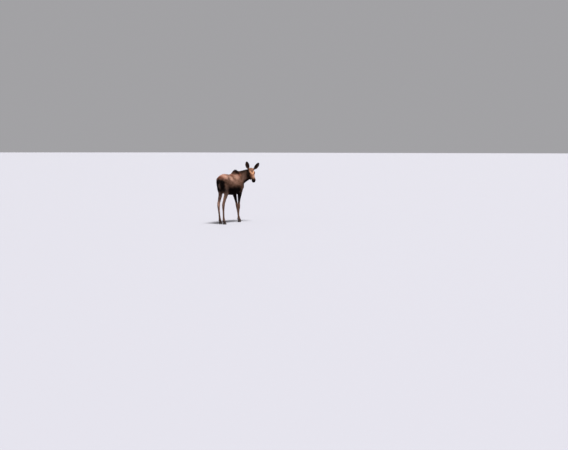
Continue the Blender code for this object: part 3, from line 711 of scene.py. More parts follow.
def coat_depth(where):
    """How far the skin lies under the tips of the hair, in metres."""
    depth = np.full(len(where.points), BODY_COAT)
    depth += CREST_COAT * crest(where)
    depth += (SHORT_COAT - depth) * np.maximum(where.leg, where.head)
    depth += (EAR_COAT - depth) * where.ear
    return depth


# %% [markdown]
# ## Fine mesh only where it is needed
#
# The whole skin may only have so many triangles. A vertex group tells the Decimate modifier to
# spare the head and the ears, and the smooth flanks pay for them. After that, the faces round the
# eyes, nostrils and lips are subdivided again, since lids and rims are a few millimetres thick.

# %% Details of the head: where they are
EYE_FACING = (0.26, 0.95, 0.17)  # on the head: along, outward, above
NOSTRIL = (0.500, 0.058, -0.082)
NOSTRIL_FACING = (0.52, 0.83, 0.05)
LIP_LINE = ((0.333, -0.126), (0.395, -0.136), (0.452, -0.150), (0.505, -0.160))  # along, above
LIPS_ASIDE = 0.045  # how far from the middle of the face the lips are refined
EYE_TILT, NOSTRIL_TILT = 8, 38  # degrees
NEAR_EYE, NEAR_NOSTRIL, NEAR_LIPS = 0.036, 0.040, 0.036  # reach of the finer mesh
SKIN_TRIANGLES = 128_000  # before the finer mesh is added


def side_frame(place, facing, side, tilt):
    """A place on one side of the head with directions: out of it, towards the nose, and up."""
    out = head_way(facing[0], side * facing[1], facing[2]).normalized()
    nose = (ALONG - out * ALONG.dot(out)).normalized()
    rise = out.cross(nose) * side
    turn = math.radians(tilt)
    turned = nose * math.cos(turn) - rise * math.sin(turn)
    rise = rise * math.cos(turn) + nose * math.sin(turn)
    return on_head(place[0], side * place[1], place[2]), (out, turned, rise)


EYES, NOSTRILS = {}, {}
for side_name, side in SIDES.items():
    EYES[side_name] = side_frame(EYE_PLACE, EYE_FACING, side, EYE_TILT)
    NOSTRILS[side_name] = side_frame(NOSTRIL, NOSTRIL_FACING, side, NOSTRIL_TILT)


# %% Spare the head, then refine it
def spare_head(thing):
    """A vertex group that is 1 where faces may be merged freely."""
    where = Where(points_of(thing.data))
    keep = np.maximum(where.head * ramp(0.02, 0.12, where.along) * 0.96, where.ear)
    group = thing.vertex_groups.new(name="merge")
    for i, share in enumerate(np.round(1 - keep, 2)):
        group.add((i,), float(share), "REPLACE")
    return group.name


def refine(shape, middles, radius, cuts):
    """Subdivides the edges near some places."""
    for _ in range(cuts):
        chosen = set()
        for middle in middles:
            for vert in shape.verts:
                if (vert.co - middle).length_squared < radius * radius:
                    chosen.update(vert.link_edges)
        bmesh.ops.subdivide_edges(shape, edges=list(chosen), cuts=1, use_grid_fill=True)
        bmesh.ops.triangulate(shape, faces=[face for face in shape.faces if len(face.verts) > 4])


hide = as_object("hide", whole)
settings = {
    "ratio": SKIN_TRIANGLES / (2 * len(hide.data.polygons)),
    "use_collapse_triangulate": True,
    "vertex_group": spare_head(hide),
    "vertex_group_factor": 8.0,
}
with_modifiers(hide, [("DECIMATE", settings)])
hide.vertex_groups.clear()
print("spared skin:", len(hide.data.polygons), "triangles")
shape = bmesh.new()
shape.from_mesh(hide.data)
refine(shape, [place for place, _ in EYES.values()], NEAR_EYE, 2)
refine(shape, [place for place, _ in NOSTRILS.values()], NEAR_NOSTRIL, 2)
lips = [on_head(x, side * LIPS_ASIDE, z) for x, z in LIP_LINE for side in SIDES.values()]
refine(shape, lips, NEAR_LIPS, 1)
bmesh.ops.triangulate(shape, faces=shape.faces)
shape.to_mesh(hide.data)
shape.free()
print("refined skin:", len(hide.data.polygons), "triangles")

# %% [markdown]
# ## Sculpting by functions
#
# A sculptor would now push the clay in and out round the eye. The same can be said in numbers: for
# each point near a feature, how high the surface should stand there. Lids are a dome a little
# larger than the eyeball, with an almond left open. A nostril is a comma sunk into the muzzle.

# %% Sculpting functions
NOSTRIL_HALF = 0.0265  # half its length
LID = 0.0030  # thickness of a lid
LID_OPENING = (0.0175, 0.0108, 0.0088)  # half length, height above and below
SOCKET_LEVEL = 0.0112  # where the skin lies round the lids, out from the middle of the eye
# Spacing and height of what shows under the hide.
RIB_SPACING, RIB_HEIGHT = 0.062, 0.0020
FOLD_SPACING, FOLD_HEIGHT = 0.058, 0.0028
WRINKLE_SPACING, WRINKLE_HEIGHT = 0.0125, 0.0008


def told_by(points, feature):
    """Points told from an eye or a nostril: out of it, towards the nose, and up."""
    place, axes = feature
    return told_from(points, place, axes).T


def way_out(feature):
    """The direction out of an eye or a nostril."""
    return np.array(feature[1][0])


def almond(u, v, half, over, under):
    """0 in the middle of an opening, 1 on its rim."""
    tall = np.where(v > 0, over, under)
    return np.abs(u / half) ** 1.8 + np.abs(v / tall) ** 1.8


def sink_to(height, target, share):
    """Heights drawn towards their target by a share."""
    return height + (target - height) * share


def lidded(points, side_name):
    """Skin drawn over the eyeball as two lids, with creases above and below."""
    a, u, v = told_by(points, EYES[side_name])
    r = np.hypot(u, v)
    near = (r < 0.045) & (a > -0.02) & (a < 0.06)
    e = almond(u, v, *LID_OPENING)
    dome = np.sqrt(np.maximum((EYE_RADIUS + LID) ** 2 - r * r, 0))
    level = SOCKET_LEVEL + 0.10 * np.maximum(v, 0) - 0.12 * u
    lid = np.logaddexp(dome * 900, level * 900) / 900
    lid -= 0.0024 * hump(e, 2.7, 1.0) * (v > 0) + 0.0014 * hump(e, 2.7, 1.1) * (v <= 0)
    lid -= 0.0035 * hump(v + 0.30 * (u - 0.018), 0, 0.0045) * hump(u, 0.025, 0.011)
    inner = np.sqrt(np.maximum((EYE_RADIUS - 0.004) ** 2 - r * r, 0))
    target = inner + (lid - inner) * ramp(0.93, 1.10, e)
    share = ramp(0.043, 0.020, r) * near
    shift = (sink_to(a, target, share) - a) * near
    return points + shift[:, None] * way_out(EYES[side_name])


def with_nostril(points, side_name):
    """A comma-shaped opening with a raised rim."""
    a, u, v = told_by(points, NOSTRILS[side_name])
    near = (np.hypot(u, v) < 0.050) & (np.abs(a) < 0.030)
    bend = v - 0.007 * (u / NOSTRIL_HALF) ** 2
    tall = 0.0100 + 0.0035 * np.clip(u / NOSTRIL_HALF, -1, 1)
    e = (u / NOSTRIL_HALF) ** 2 + (bend / tall) ** 2
    shift = 0.0045 * hump(e, 1.8, 1.5) - 0.024 * ramp(1.25, 0.25, e)
    return points + (shift * near)[:, None] * way_out(NOSTRILS[side_name])


def with_lips(points, where):
    """The line between the lips, with a full upper lip over it."""
    line = np.interp(where.along, *np.array(LIP_LINE).T)
    gap = where.above - line
    here = ramp(0.325, 0.350, where.along) * ramp(0.533, 0.503, where.along) * (where.wide > 0.012)
    shift = 0.0032 * hump(gap, 0.016, 0.015)  # the upper lip
    shift -= 0.0062 * hump(gap, 0.0, 0.0065)  # the line between the lips
    shift += 0.0020 * hump(gap, -0.012, 0.010)  # the lower lip
    inward = np.sign(where.aside) * shift * here * where.head
    return points + inward[:, None] * np.array(LEFT)


def with_folds(points, normals, where):
    """Ribs under the hide, folds inside the bend of the neck and small wrinkles on the muzzle."""
    f, u = where.forward, where.up
    chest = hump(f, 0.74, 0.27) * hump(u, 1.27, 0.26) * ramp(0.12, 0.18, where.far_out)
    ribs = np.sin(math.tau * (f + 0.22 * u) / RIB_SPACING) * chest
    turned = where.neck * ramp(0.01, 0.10, -where.left - 0.02) * hump(where.neck_far, 0.46, 0.22)
    folds = np.sin(math.tau * where.neck_far / FOLD_SPACING + 1.2 * where.neck_high) * turned
    muzzle = hump(where.along, 0.462, 0.045) * hump(where.above, -0.035, 0.05) * where.head
    wrinkles = np.sin(math.tau * (where.along - 0.3 * where.above) / WRINKLE_SPACING) * muzzle
    shift = RIB_HEIGHT * ribs + FOLD_HEIGHT * folds + WRINKLE_HEIGHT * wrinkles
    return points + shift[:, None] * normals


# %% Sculpt the skin
points, normals = points_of(hide.data), normals_of(hide.data)
where = Where(points)
points = with_folds(points, normals, where)
points = points - normals * coat_depth(where)[:, None]
for side_name in SIDES:
    points = lidded(points, side_name)
    points = with_nostril(points, side_name)
points = with_lips(points, Where(points))
move_points(hide.data, points)
hide.data.shade_smooth()

# %% [markdown]
# ## Where leg and hoof meet
#
# The legs were lofted a little way into the feet. The skin is closed there, on the slanted plane
# of the coronet, where the horn of the hoof begins. The hooves stand under it as their own pieces.

# %% Close the skin on the coronets
CORONET_HEIGHT = 0.062  # at the middle of the foot
CORONET_SLOPE = math.tan(math.radians(20))  # down towards the heel
CORONET_LAP = 0.006  # how far the skin reaches down over the horn


def foot_place(limb, side_name):
    """The middle of a foot on the ground, as (forward, left)."""
    rows = LIMBS[limb]
    ahead, outward = STANCE[limb, side_name]
    return rows[-1][0] + ahead, SIDES[side_name] * (rows[-1][1] + outward)


def lifted_to_coronets(points):
    """Points inside a hoof brought up to its coronet."""
    forward, left, up = told_from(points, ORIGIN, BODY_AXES).T
    floor = np.zeros(len(points))
    for limb, side_name in STANCE:
        ahead, out = foot_place(limb, side_name)
        here = (np.abs(forward - ahead) < 0.12) & (np.abs(left - out) < 0.075)
        plane = CORONET_HEIGHT - CORONET_LAP + CORONET_SLOPE * (forward - ahead)
        floor = np.where(here, np.maximum(floor, plane), floor)
    lift = np.maximum(floor - up, 0)
    return points + lift[:, None] * np.array(UPWARD)


move_points(hide.data, lifted_to_coronets(points_of(hide.data)))
points, normals = points_of(hide.data), normals_of(hide.data)
where = Where(points)
print("skin box:", points.min(axis=0).round(3), points.max(axis=0).round(3))

# %% [markdown]
# ## Markings
#
# A moose in summer is brown over the back and sides, black-brown on mane, belly, breast and thighs,
# and paler on the lower legs. Its face has a pale V from the brows to the bridge of the nose,
# brightened by a painted highlight. Some masks paint light and shade into the colour: sheen on
# back, ribs, shoulder and rump, and shade round the eyes, inside the ears, behind the head, behind
# the hip bone and on the lower legs.
# Each colour is a mask between 0 and 1, worked out from where a point lies on the animal. Skin and
# coat ask the same function, so both always show the same pattern.

# %% Masks of the body
MASKS = ("black", "red", "grey", "tan", "pale")
# Painted sheen where the coat catches the light, and paler hair above the hocks: strength, forward,
# up, half their length and half their height.
SHEEN_AND_PALE_PATCHES = (
    (1.30, 0.47, 1.50, 0.19, 0.14),  # last ribs
    (1.10, 0.88, 1.54, 0.25, 0.15),  # shoulder
    (1.60, 0.19, 1.57, 0.22, 0.15),  # rump
    (0.30, 0.66, 1.36, 0.30, 0.14),  # side
    (0.55, 1.34, 1.46, 0.14, 0.14),  # side of the neck
    (0.05, 0.10, 0.88, 0.40, 0.17),  # above the hocks
)


def wavy(a, b, size):
    """A slow irregular wave between -1 and 1, so that no border runs straight."""
    a, b = a * math.tau / size, b * math.tau / size
    return (np.sin(a + 1.3 * np.sin(0.7 * b)) + np.sin(0.6 * b - 0.9 * np.sin(1.1 * a) + 2)) / 2


def rear_edges(where):
    """How far back the body reaches at each height, on the left and on the right."""
    levels = np.arange(0.60, 1.56, 0.04)
    edges = {}
    for sign in SIDES.values():
        half = (where.left * sign > 0.01) & (where.forward < 0.6)
        bands = [half & (np.abs(where.up - level) < 0.03) for level in levels]
        edges[sign] = [where.forward[band].min() for band in bands]
    return levels, edges


LEVELS, EDGES = rear_edges(where)


def body_masks(where, normals):
    """Markings of trunk, neck, tail and legs, with painted sheen and shade."""
    f, u, side = where.forward, where.up, np.abs(normals @ np.array(LEFTWARD))
    ragged = u + 0.022 * wavy(f, u, 0.21)
    thigh_outside = ramp(0.36, 0.22, f) * ramp(0.35, 0.75, side) * ramp(0.0, 0.10, f)
    low = ragged + 0.11 * ramp(0.90, 1.20, f)
    between_legs = ramp(0.38, 0.44, f) * ramp(1.06, 1.00, f) * ramp(0.84, 0.88, u)
    belly = ramp(1.31, 1.13, low) * (1 - 0.60 * thigh_outside)
    belly *= np.maximum(ramp(1.00, 1.09, u), between_legs)
    left_edge, right_edge = (np.interp(u, LEVELS, EDGES[sign]) for sign in (1, -1))
    behind = f - np.where(where.left > 0, left_edge, right_edge) + 0.02 * wavy(u, where.left, 0.13)
    rear = ramp(0.235, 0.115, behind) * ramp(1.49, 1.41, ragged) * ramp(1.03, 1.17, ragged)
    inner = ramp(0.085, 0.060, where.far_out) * ramp(1.34, 1.22, u) * ramp(1.02, 1.12, u)
    upper_foreleg = ramp(0.80, 0.90, f) * ramp(1.19, 1.00, ragged) * ramp(0.60, 0.76, ragged)
    facing_front = ramp(0.30, 0.75, normals @ np.array(FORWARD)) * ramp(1.10, 1.24, f)
    slanted = f + 0.5 * (1.28 - u) + 0.03 * wavy(u, where.left, 0.12)
    low_neck = ramp(1.27, 1.50, slanted) * (1 - where.neck) * (1 - 0.45 * ramp(0.4, 0.8, side))
    breast = np.maximum(low_neck, 0.95 * facing_front)
    breast *= ramp(1.42, 1.25, ragged) * ramp(0.90, 1.0, u)
    hackle = hump(f, 1.06, 0.36) * ramp(1.56, 1.65, ragged)
    mane = 0.8 * where.neck * ramp(0.35, 0.80, where.neck_high)
    throat = where.neck * ramp(-0.30, -0.68, where.neck_high)
    tail = ramp(-0.045, -0.062, f) * ramp(1.33, 1.36, u) * ramp(0.06, 0.04, where.far_out)
    # Painted shadow of the turned head on the neck just behind it, over dark hair.
    nape_shadow = 0.85 * where.neck * ramp(0.52, 0.66, where.neck_far)
    low_dark = [belly, rear, inner, upper_foreleg, 0.85 * breast, tail]
    high_dark = [throat, hackle, mane, crest(where), nape_shadow]
    black = np.max(low_dark + high_dark, axis=0)
    lower_leg = np.where(f > 0.7, ramp(0.70, 0.58, ragged), ramp(1.08, 0.88, ragged))
    fetlock = ramp(0.19, 0.09, u)
    streak = ramp(0.048, 0.018, np.abs(where.left + 0.032)) * ramp(0.04, -0.03, f)
    streak = streak * hump(u, 1.27, 0.19) * (1 - tail)
    neck_side = where.neck * ramp(0.95, 0.4, np.abs(where.neck_high))
    within = ramp(-0.05, -0.55, (normals @ np.array(LEFTWARD)) * np.sign(where.left)) * lower_leg
    grey_thigh = 0.5 * thigh_outside * ramp(1.3, 1.1, u)
    grey = np.max([0.25 * neck_side, 0.7 * streak, 0.26 * lower_leg, grey_thigh], axis=0)
    saddle = np.maximum(hump(f, 0.70, 0.17), hump(f, 1.10, 0.30)) * ramp(1.52, 1.60, u)
    red = np.maximum(ramp(0.42, 0.10, f) * ramp(1.44, 1.56, u), saddle) * 0.8
    # Painted sheen on ribs, shoulder, rump, side and neck where they catch the light, with paler
    # hair on the inner side of the legs and above the hocks.
    sheen_and_pale = 0.85 * within * ramp(0.30, 0.50, u)
    for strength, ahead, height, half_f, half_u in SHEEN_AND_PALE_PATCHES:
        sheen_and_pale += strength * hump(f, ahead, half_f) * hump(u, height, half_u)
    streaky = 0.72 + 0.30 * wavy(f * 2.6 + u, u * 0.6, 0.13)
    pale = sheen_and_pale * (streaky + 0.22 * wavy(f * 2.0, u + where.left, 0.055))
    tan = lower_leg * (0.15 - 0.11 * fetlock)
    # Painted shade in the dip behind the hip bone; the rear edge of the rump is darker too.
    hollow_shade = 0.50 * hump(f, 0.32, 0.09) * hump(u, 1.49, 0.11)
    hollow_shade = hollow_shade + 0.35 * ramp(0.09, -0.01, f) * ramp(1.40, 1.46, u)
    # The lower legs are darker except on their inner side, and darkest at the fetlocks: darker hair
    # and painted shade.
    legs = np.maximum(0.50 * fetlock, 0.36 * lower_leg - 0.26 * within)
    shade = np.max([legs, 0.12 * where.neck, hollow_shade], axis=0)
    black = np.maximum(black * (1 - 0.72 * streak), shade)
    return {"black": black, "red": red, "grey": grey, "tan": tan, "pale": pale}


# %% Masks of the head
def head_masks(where):
    """Markings of the face, the jaw and the muzzle, with a painted highlight, sheen and shade."""
    along, above, wide = where.along, where.above, where.wide
    ragged = along + 0.012 * wavy(where.aside, above, 0.05)
    # A pale V on the brows and down the bridge of the nose: paler hair brightened by a painted
    # highlight where they face the light.
    brow_line = np.interp(along, (0.12, 0.20, 0.30), (0.070, 0.046, 0.0))
    pale_v_and_highlight = ramp(0.030, 0.008, np.abs(wide - brow_line))
    pale_v_and_highlight = pale_v_and_highlight * ramp(0.10, 0.16, ragged) * ramp(0.35, 0.27, ragged)
    bridge = ramp(0.042, 0.012, wide) * ramp(0.23, 0.30, along) * ramp(0.54, 0.42, ragged)
    top = ramp(-0.060, -0.015, above)
    forehead = ramp(0.080, 0.050, wide) * ramp(0.0, 0.05, along) * ramp(0.18, 0.12, ragged) * top
    peak = np.interp(along, (0.07, 0.13, 0.24), (0.050, 0.042, 0.006))
    notch = ramp(peak, 0.4 * peak, wide) * ramp(0.09, 0.15, along)
    notch = notch * ramp(0.262, 0.225, ragged) * top
    cheek = hump(ragged, 0.28, 0.17) * ramp(0.028, 0.050, wide) * ramp(-0.135, -0.06, above)
    ear_foot = hump(along, 0.05, 0.06) * hump(wide, 0.062, 0.03) * top
    # Dark hair round the eye, with painted shade spread over the side of the head behind it and
    # under it.
    from_eye = np.hypot(0.66 * (along - EYE_PLACE[0] - 0.006), above - EYE_PLACE[2] + 0.010)
    from_eye = from_eye + 0.010 * wavy(along, above, 0.026)
    eye_ring_and_shade = ramp(0.072, 0.030, from_eye) * ramp(0.055, 0.075, wide)
    occiput = ramp(0.050, -0.005, ragged) * ramp(-0.01, -0.05, above)
    outside = np.maximum(ramp(0.078, 0.098, wide), ramp(-0.07, -0.12, above))
    temple_shade = ramp(0.26, 0.17, ragged) * outside
    jaw = ramp(-0.07, -0.16, above) * ramp(0.46, 0.34, ragged)
    muzzle = ramp(0.470, 0.525, ragged + 0.080 * ramp(-0.05, -0.13, above))
    # Painted sheen on the top of the dark muzzle: a patch there is a little grey and less black.
    lighter = hump(along, 0.515, 0.030) * ramp(0.040, 0.015, wide) * ramp(-0.04, -0.02, above)
    nose = muzzle * (1 - 0.20 * lighter)
    brown = np.maximum(0.34 * forehead, 0.16 * bridge) * (1 - pale_v_and_highlight)
    dark = [0.97 * eye_ring_and_shade, occiput, 0.94 * temple_shade, 0.62 * jaw, nose, 0.86 * notch]
    black = np.max([*dark, 0.08 * cheek, brown], axis=0)
    tan = np.max([0.95 * pale_v_and_highlight * top, 0.30 * bridge, 0.28 * forehead, 0.30 * cheek], axis=0)
    red = np.max([cheek, ear_foot, notch, 0.35 * forehead], axis=0)
    pale = 0.15 * pale_v_and_highlight * top
    return {"black": black, "red": red, "grey": 0.3 * lighter, "tan": tan, "pale": pale}


def colour_and_light_masks(where, normals):
    """All masks at some points, in the order of MASKS."""
    body, head = body_masks(where, normals), head_masks(where)
    rim = np.clip(where.ear_edge + ramp(0.78, 0.95, where.ear_reach), 0, 1)
    cup = where.ear_inside * ramp(0.95, 0.6, rim)
    # The ears are near black: dark hair, with painted shade in the cup, which is only a little
    # browner.
    ear = {"black": np.maximum(rim, 0.985) - 0.03 * cup, "red": 0.9 * cup, "grey": 0.0, "tan": 0.0}
    ear["pale"] = 0.4 * where.ear_inside * ramp(0.45, 0.15, where.ear_reach)
    made = {}
    for name in MASKS:
        value = body[name] + (head[name] - body[name]) * where.head
        made[name] = np.clip(value + (ear[name] - value) * where.ear, 0, 1)
    return made


def keep_values(mesh, values):
    """Stores arrays of one number for each point on a mesh, for its material to read."""
    for name, value in values.items():
        data = mesh.attributes.new(name, "FLOAT", "POINT").data
        data.foreach_set("value", np.asarray(value, np.float32))


# The skin is coloured as a tuft of middle shade is near its root.
skin_values = colour_and_light_masks(where, normals)
skin_values["strand"] = np.full(len(points), 0.5)
skin_values["tip"] = np.full(len(points), 0.35)
keep_values(hide.data, skin_values)

# %% [markdown]
# ## The lie of the coat
#
# Hair grows away from the nose: up the face, back along the body and down the legs. A field of
# directions says so for every point. The tufts follow it, and so does the grain of the bump below.

# %% Directions of the hair
def blended(ways, other, share):
    """Directions drawn towards others by a share for each point."""
    return ways + (other - ways) * share[:, None]


def every(way, count):
    """One direction for all points."""
    return np.tile(np.array(way, dtype=float), (count, 1))


def lobe_share(where, root, run, length, reach):
    """1 near the line of a hanging lobe such as the tail."""
    far, _, _ = told_from(where.points, root, (run, run.orthogonal(), UPWARD)).T
    nearest = np.array(root) + np.clip(far, 0.012, length)[:, None] * np.array(run)
    gap = np.linalg.norm(where.points - nearest, axis=1)
    return ramp(reach, reach * 0.7, gap) * ramp(0.0, 0.02, far)


def hanging_share(where):
    """1 on the tail and on the bell."""
    tail_run = body_way(*TAIL_RUN).normalized()
    tail = lobe_share(where, on_body(*TAIL_ROOT), tail_run, TAIL_ROWS[-1][0], 0.040)
    bell = lobe_share(where, on_head(*BELL_ROOT), -UPWARD, BELL_ROWS[-1][0], 0.042)
    return np.maximum(tail, bell)


def lie_of_coat(where, normals):
    """The way the hair points, along the skin."""
    count = len(where.points)
    back, down, nose = -np.array(FORWARD), -np.array(UPWARD), np.array(ALONG)
    side = np.abs(normals @ np.array(LEFTWARD))
    ways = every(back, count) + down * (0.10 + 0.42 * side)[:, None]
    limb = np.maximum(ramp(0.52, 0.36, where.forward), ramp(0.86, 1.00, where.forward))
    limb = limb * ramp(1.36, 1.00, where.up) * ramp(0.2, 0.6, side)
    ways = blended(ways, every(down + 0.30 * back, count), limb)
    ways = blended(ways, -where.neck_run + down * (0.45 * side)[:, None], where.neck)
    ways = blended(ways, every(down + 0.12 * back, count), where.leg)
    outward = np.sign(where.aside) * 0.30 * ramp(0.0, 0.05, where.wide)
    face = -nose + outward[:, None] * np.array(LEFT)
    face = face - np.array(ABOVE) * (0.45 * ramp(-0.06, -0.14, where.above))[:, None]
    ways = blended(ways, face, where.head)
    for side_name, sign in SIDES.items():
        run, _, over = ear_axes(side_name)
        fanned = (0.5 * where.ear_edge * where.ear_flank)[:, None]
        fringe = every(run, count) + np.array(over) * fanned
        ways = blended(ways, fringe, where.ear * (where.aside * sign > 0))
    ways = blended(ways, every(down + 0.25 * back, count), hanging_share(where))
    swirl = 0.16 * wavy(where.forward + where.left, where.up, 0.16) * (1 - where.ear)
    ways += np.cross(normals, ways) * swirl[:, None]
    ways -= normals * np.einsum("ij,ij->i", ways, normals)[:, None]
    return ways / np.linalg.norm(ways, axis=1)[:, None]


# %% [markdown]
# ## Tufts
#
# A coat of real hairs has millions of strands, far too many for a mesh. A tuft stands for the few
# dozen hairs that cling together: a thin closed sliver with a ridge, rooted just under the skin,
# that lies back along the body and lifts a little at its tip. Close together they overlap like
# thatch, and their tips break up the outline. They are small on face and feet and long on mane and
# tail.

# %% Sizes of the tufts
BODY_TUFT = (0.025, 0.0016, 0.0043, 52000.0)


def tuft_sizes(where):
    """Length, half width, lift of the tip and number on a square metre, at some points."""
    mane = crest(where)
    f, u = where.forward, where.up
    low_belly = ramp(1.06, 0.98, u) * ramp(0.30, 0.45, f) * ramp(1.15, 1.0, f) * (1 - where.leg)
    throat = where.neck * ramp(-0.45, -0.8, where.neck_high)
    rear = ramp(0.06, -0.02, f) * ramp(1.46, 1.38, u) * (1 - where.leg)
    table = (
        (where.neck, 0.029, 0.0016, 0.0056, 53000),
        (rear, 0.031, 0.0017, 0.0066, 52000),
        (low_belly, 0.040, 0.0021, 0.0085, 31000),
        (throat, 0.042, 0.0021, 0.0095, 33000),
        (mane, 0.062, 0.0023, 0.0210, 42000),
        (where.leg, 0.0150, 0.0012, 0.0022, 68000),
        (where.leg * ramp(0.16, 0.09, u), 0.018, 0.0013, 0.0030, 80000),
        (where.head, 0.0135, 0.0011, 0.0020, 105000),
        (where.head * ramp(0.36, 0.43, where.along), 0.0075, 0.0009, 0.0012, 150000),
        (where.ear, 0.0150, 0.0011, 0.0018, 95000),
        (where.ear * where.ear_edge, 0.0200, 0.0012, 0.0030, 160000),
        (hanging_share(where), 0.046, 0.0018, 0.0070, 80000),
    )
    sizes = np.tile(BODY_TUFT, (len(where.points), 1))
    for share, *wanted in table:
        sizes += (np.array(wanted) - sizes) * np.asarray(share)[:, None]
    return sizes


# %% Scatter the roots
HAIR_ENDS = 0.058  # height of the lowest hair, at the coronets


def bare(where):
    """Where no hair grows: between the lids, in the nostrils and under the coronets."""
    none = np.zeros(len(where.points), dtype=bool)
    for eye, nostril in zip(EYES.values(), NOSTRILS.values()):
        a, u, v = told_by(where.points, eye)
        none |= (almond(u, v, *LID_OPENING) < 1.25) & (np.hypot(u, v) < 0.04) & (np.abs(a) < 0.04)
        a, u, v = told_by(where.points, nostril)
        none |= ((u / NOSTRIL_HALF) ** 2 + (v / 0.014) ** 2 < 1.0) & (np.abs(a) < 0.05)
    return none | (where.up < HAIR_ENDS)


def scattered(mesh, density):
    """Random places on a mesh, as the corners of their triangles and the shares of those."""
    corners = triangles_of(mesh)
    spots = points_of(mesh)[corners]
    edge, other = spots[:, 1] - spots[:, 0], spots[:, 2] - spots[:, 0]
    area = np.linalg.norm(np.cross(edge, other), axis=1) / 2
    total = np.cumsum(area * density[corners].mean(axis=1))
    ticks = np.arange(int(total[-1])) + CHANCE.random(int(total[-1]))
    chosen = np.minimum(np.searchsorted(total, ticks), len(corners) - 1)
    b, c = CHANCE.random((2, len(chosen)))
    flip = b + c > 1
    b, c = np.where(flip, 1 - b, b), np.where(flip, 1 - c, c)
    return corners[chosen], np.stack([1 - b - c, b, c], axis=1)


def spread(values, corners, shares):
    """Values of a mesh's points at scattered places."""
    return np.einsum("ij...,ij->i...", values[corners], shares)


corners, shares = scattered(hide.data, tuft_sizes(where)[:, 3])
roots, root_normals = spread(points, corners, shares), spread(normals, corners, shares)
root_normals /= np.linalg.norm(root_normals, axis=1)[:, None]
root_where = Where(roots)
hairy = ~bare(root_where)
roots, root_normals, root_where = roots[hairy], root_normals[hairy], Where(roots[hairy])
print("tufts:", len(roots))

# %% [markdown]
# ## A map for each part of the coat
#
# Each tuft gets a small patch of a flat map, at the place of its root. The map is an unwrap of the
# skin: a light copy of it is parted into areas, and each area is laid flat by Smart UV Project. The
# nearest face of that copy then tells where on the map a root lies.

# %% Areas of the coat
AREAS = ("trunk_fore", "trunk_hind", "neck", "foreleg", "hindleg", "head")
PATCH = 0.003  # width of a tuft's patch on the map


def area_of(where):
    """For each point the number of its area, counted twice, for the left and the right side."""
    area = np.where(where.forward > 0.70, 0, 1)
    area = np.where(where.neck > 0.5, 2, area)
    area = np.where(where.leg > 0.5, np.where(where.forward > 0.70, 3, 4), area)
    on_the_head = (where.head > 0.5) | (where.ear > 0.5)
    area = np.where(on_the_head, 5, area)
    right = np.where(on_the_head, where.aside < 0, where.left < 0)
    return area * 2 + right


def nearest_on(points, triangles, targets):
    """For each target the nearest triangle, and the shares of its corners there."""
    tree = BVHTree.FromPolygons(points.tolist(), triangles.tolist())
    found = [tree.find_nearest(target) for target in targets.tolist()]
    index = np.array([hit[2] for hit in found])
    spots = np.array([hit[0] for hit in found])
    a, b, c = (points[triangles[index, k]] for k in range(3))
    whole = np.cross(b - a, c - a)
    size = np.maximum(np.einsum("ij,ij->i", whole, whole), 1e-20)
    share_b = np.einsum("ij,ij->i", np.cross(spots - a, c - a), whole) / size
    share_c = np.einsum("ij,ij->i", np.cross(b - a, spots - a), whole) / size
    return index, np.stack([1 - share_b - share_c, share_b, share_c], axis=1)


# %% Lay the areas flat
light = bpy.data.objects.new("light", hide.data.copy())
bpy.context.scene.collection.objects.link(light)
with_modifiers(light, [("DECIMATE", {"ratio": 0.10, "use_collapse_triangulate": True})])
light_points, light_triangles = points_of(light.data), triangles_of(light.data)
light_area = area_of(Where(light_points[light_triangles].mean(axis=1)))
bpy.data.objects.remove(light)


def laid_flat(points, triangles):
    """The map position of each corner of some triangles."""
    mesh = bpy.data.meshes.new("flat")
    mesh.from_pydata(points.tolist(), [], triangles.tolist())
    thing = bpy.data.objects.new("flat", mesh)
    bpy.context.scene.collection.objects.link(thing)
    bpy.context.view_layer.objects.active = thing
    thing.select_set(True)
    bpy.ops.object.mode_set(mode="EDIT")
    bpy.ops.mesh.select_all(action="SELECT")
    bpy.ops.uv.smart_project(angle_limit=math.radians(66), island_margin=0.004)
    bpy.ops.object.mode_set(mode="OBJECT")
    flat = np.empty(len(mesh.loops) * 2)
    mesh.uv_layers.active.data.foreach_get("uv", flat)
    bpy.data.objects.remove(thing)
    return flat.reshape(-1, 3, 2)


def map_places(area, targets):
    """Where on its area's map each root lies."""
    triangles = light_triangles[light_area == area]
    flat = laid_flat(light_points, triangles)
    index, shares = nearest_on(light_points, triangles, targets)
    return np.einsum("ijk,ij->ik", flat[index], shares)


# %% [markdown]
# ## Growing the tufts
#
# The tip of a tuft is first set out straight along the lie of the coat and then drawn back to just
# over the skin, so that tufts follow the legs and the muzzle round. Lengths vary by a quarter, as
# in a real coat between two moults. What is longer than 3 cm hangs on beyond.

# %% Shape of the tufts
directions = lie_of_coat(root_where, root_normals)
LEAST, MOST = (0.75, 0.8, 0.6), (1.25, 1.2, 1.4)  # spread of length, half width and lift
sizes = tuft_sizes(root_where)[:, :3] * CHANCE.uniform(LEAST, MOST, (len(roots), 3))
length, half_width, lift = sizes.T
strand = CHANCE.random(len(roots))
turn = CHANCE.normal(0, 0.10, len(roots))
directions = directions + np.cross(root_normals, directions) * turn[:, None]
skin_triangles = triangles_of(hide.data)
KEEPS_TO_SKIN = 0.030  # a tuft longer than this hangs free beyond it
FREE_LIFT, FREE_DROOP = 0.12, 0.35  # of the free part, for its length


def along_skin(share):
    """Places and normals of the skin under the tufts, at a share of their length."""
    reach = np.minimum(length, KEEPS_TO_SKIN) * share
    targets = roots + directions * reach[:, None]
    index, shares = nearest_on(points, skin_triangles, targets)
    corners = skin_triangles[index]
    spots, ways = spread(points, corners, shares), spread(normals, corners, shares)
    ways /= np.linalg.norm(ways, axis=1)[:, None]
    same = np.einsum("ij,ij->i", ways, root_normals) > -0.2
    ways = np.where(same[:, None], ways, root_normals)
    return np.where(same[:, None], spots, targets) + ways * (lift * share)[:, None], ways


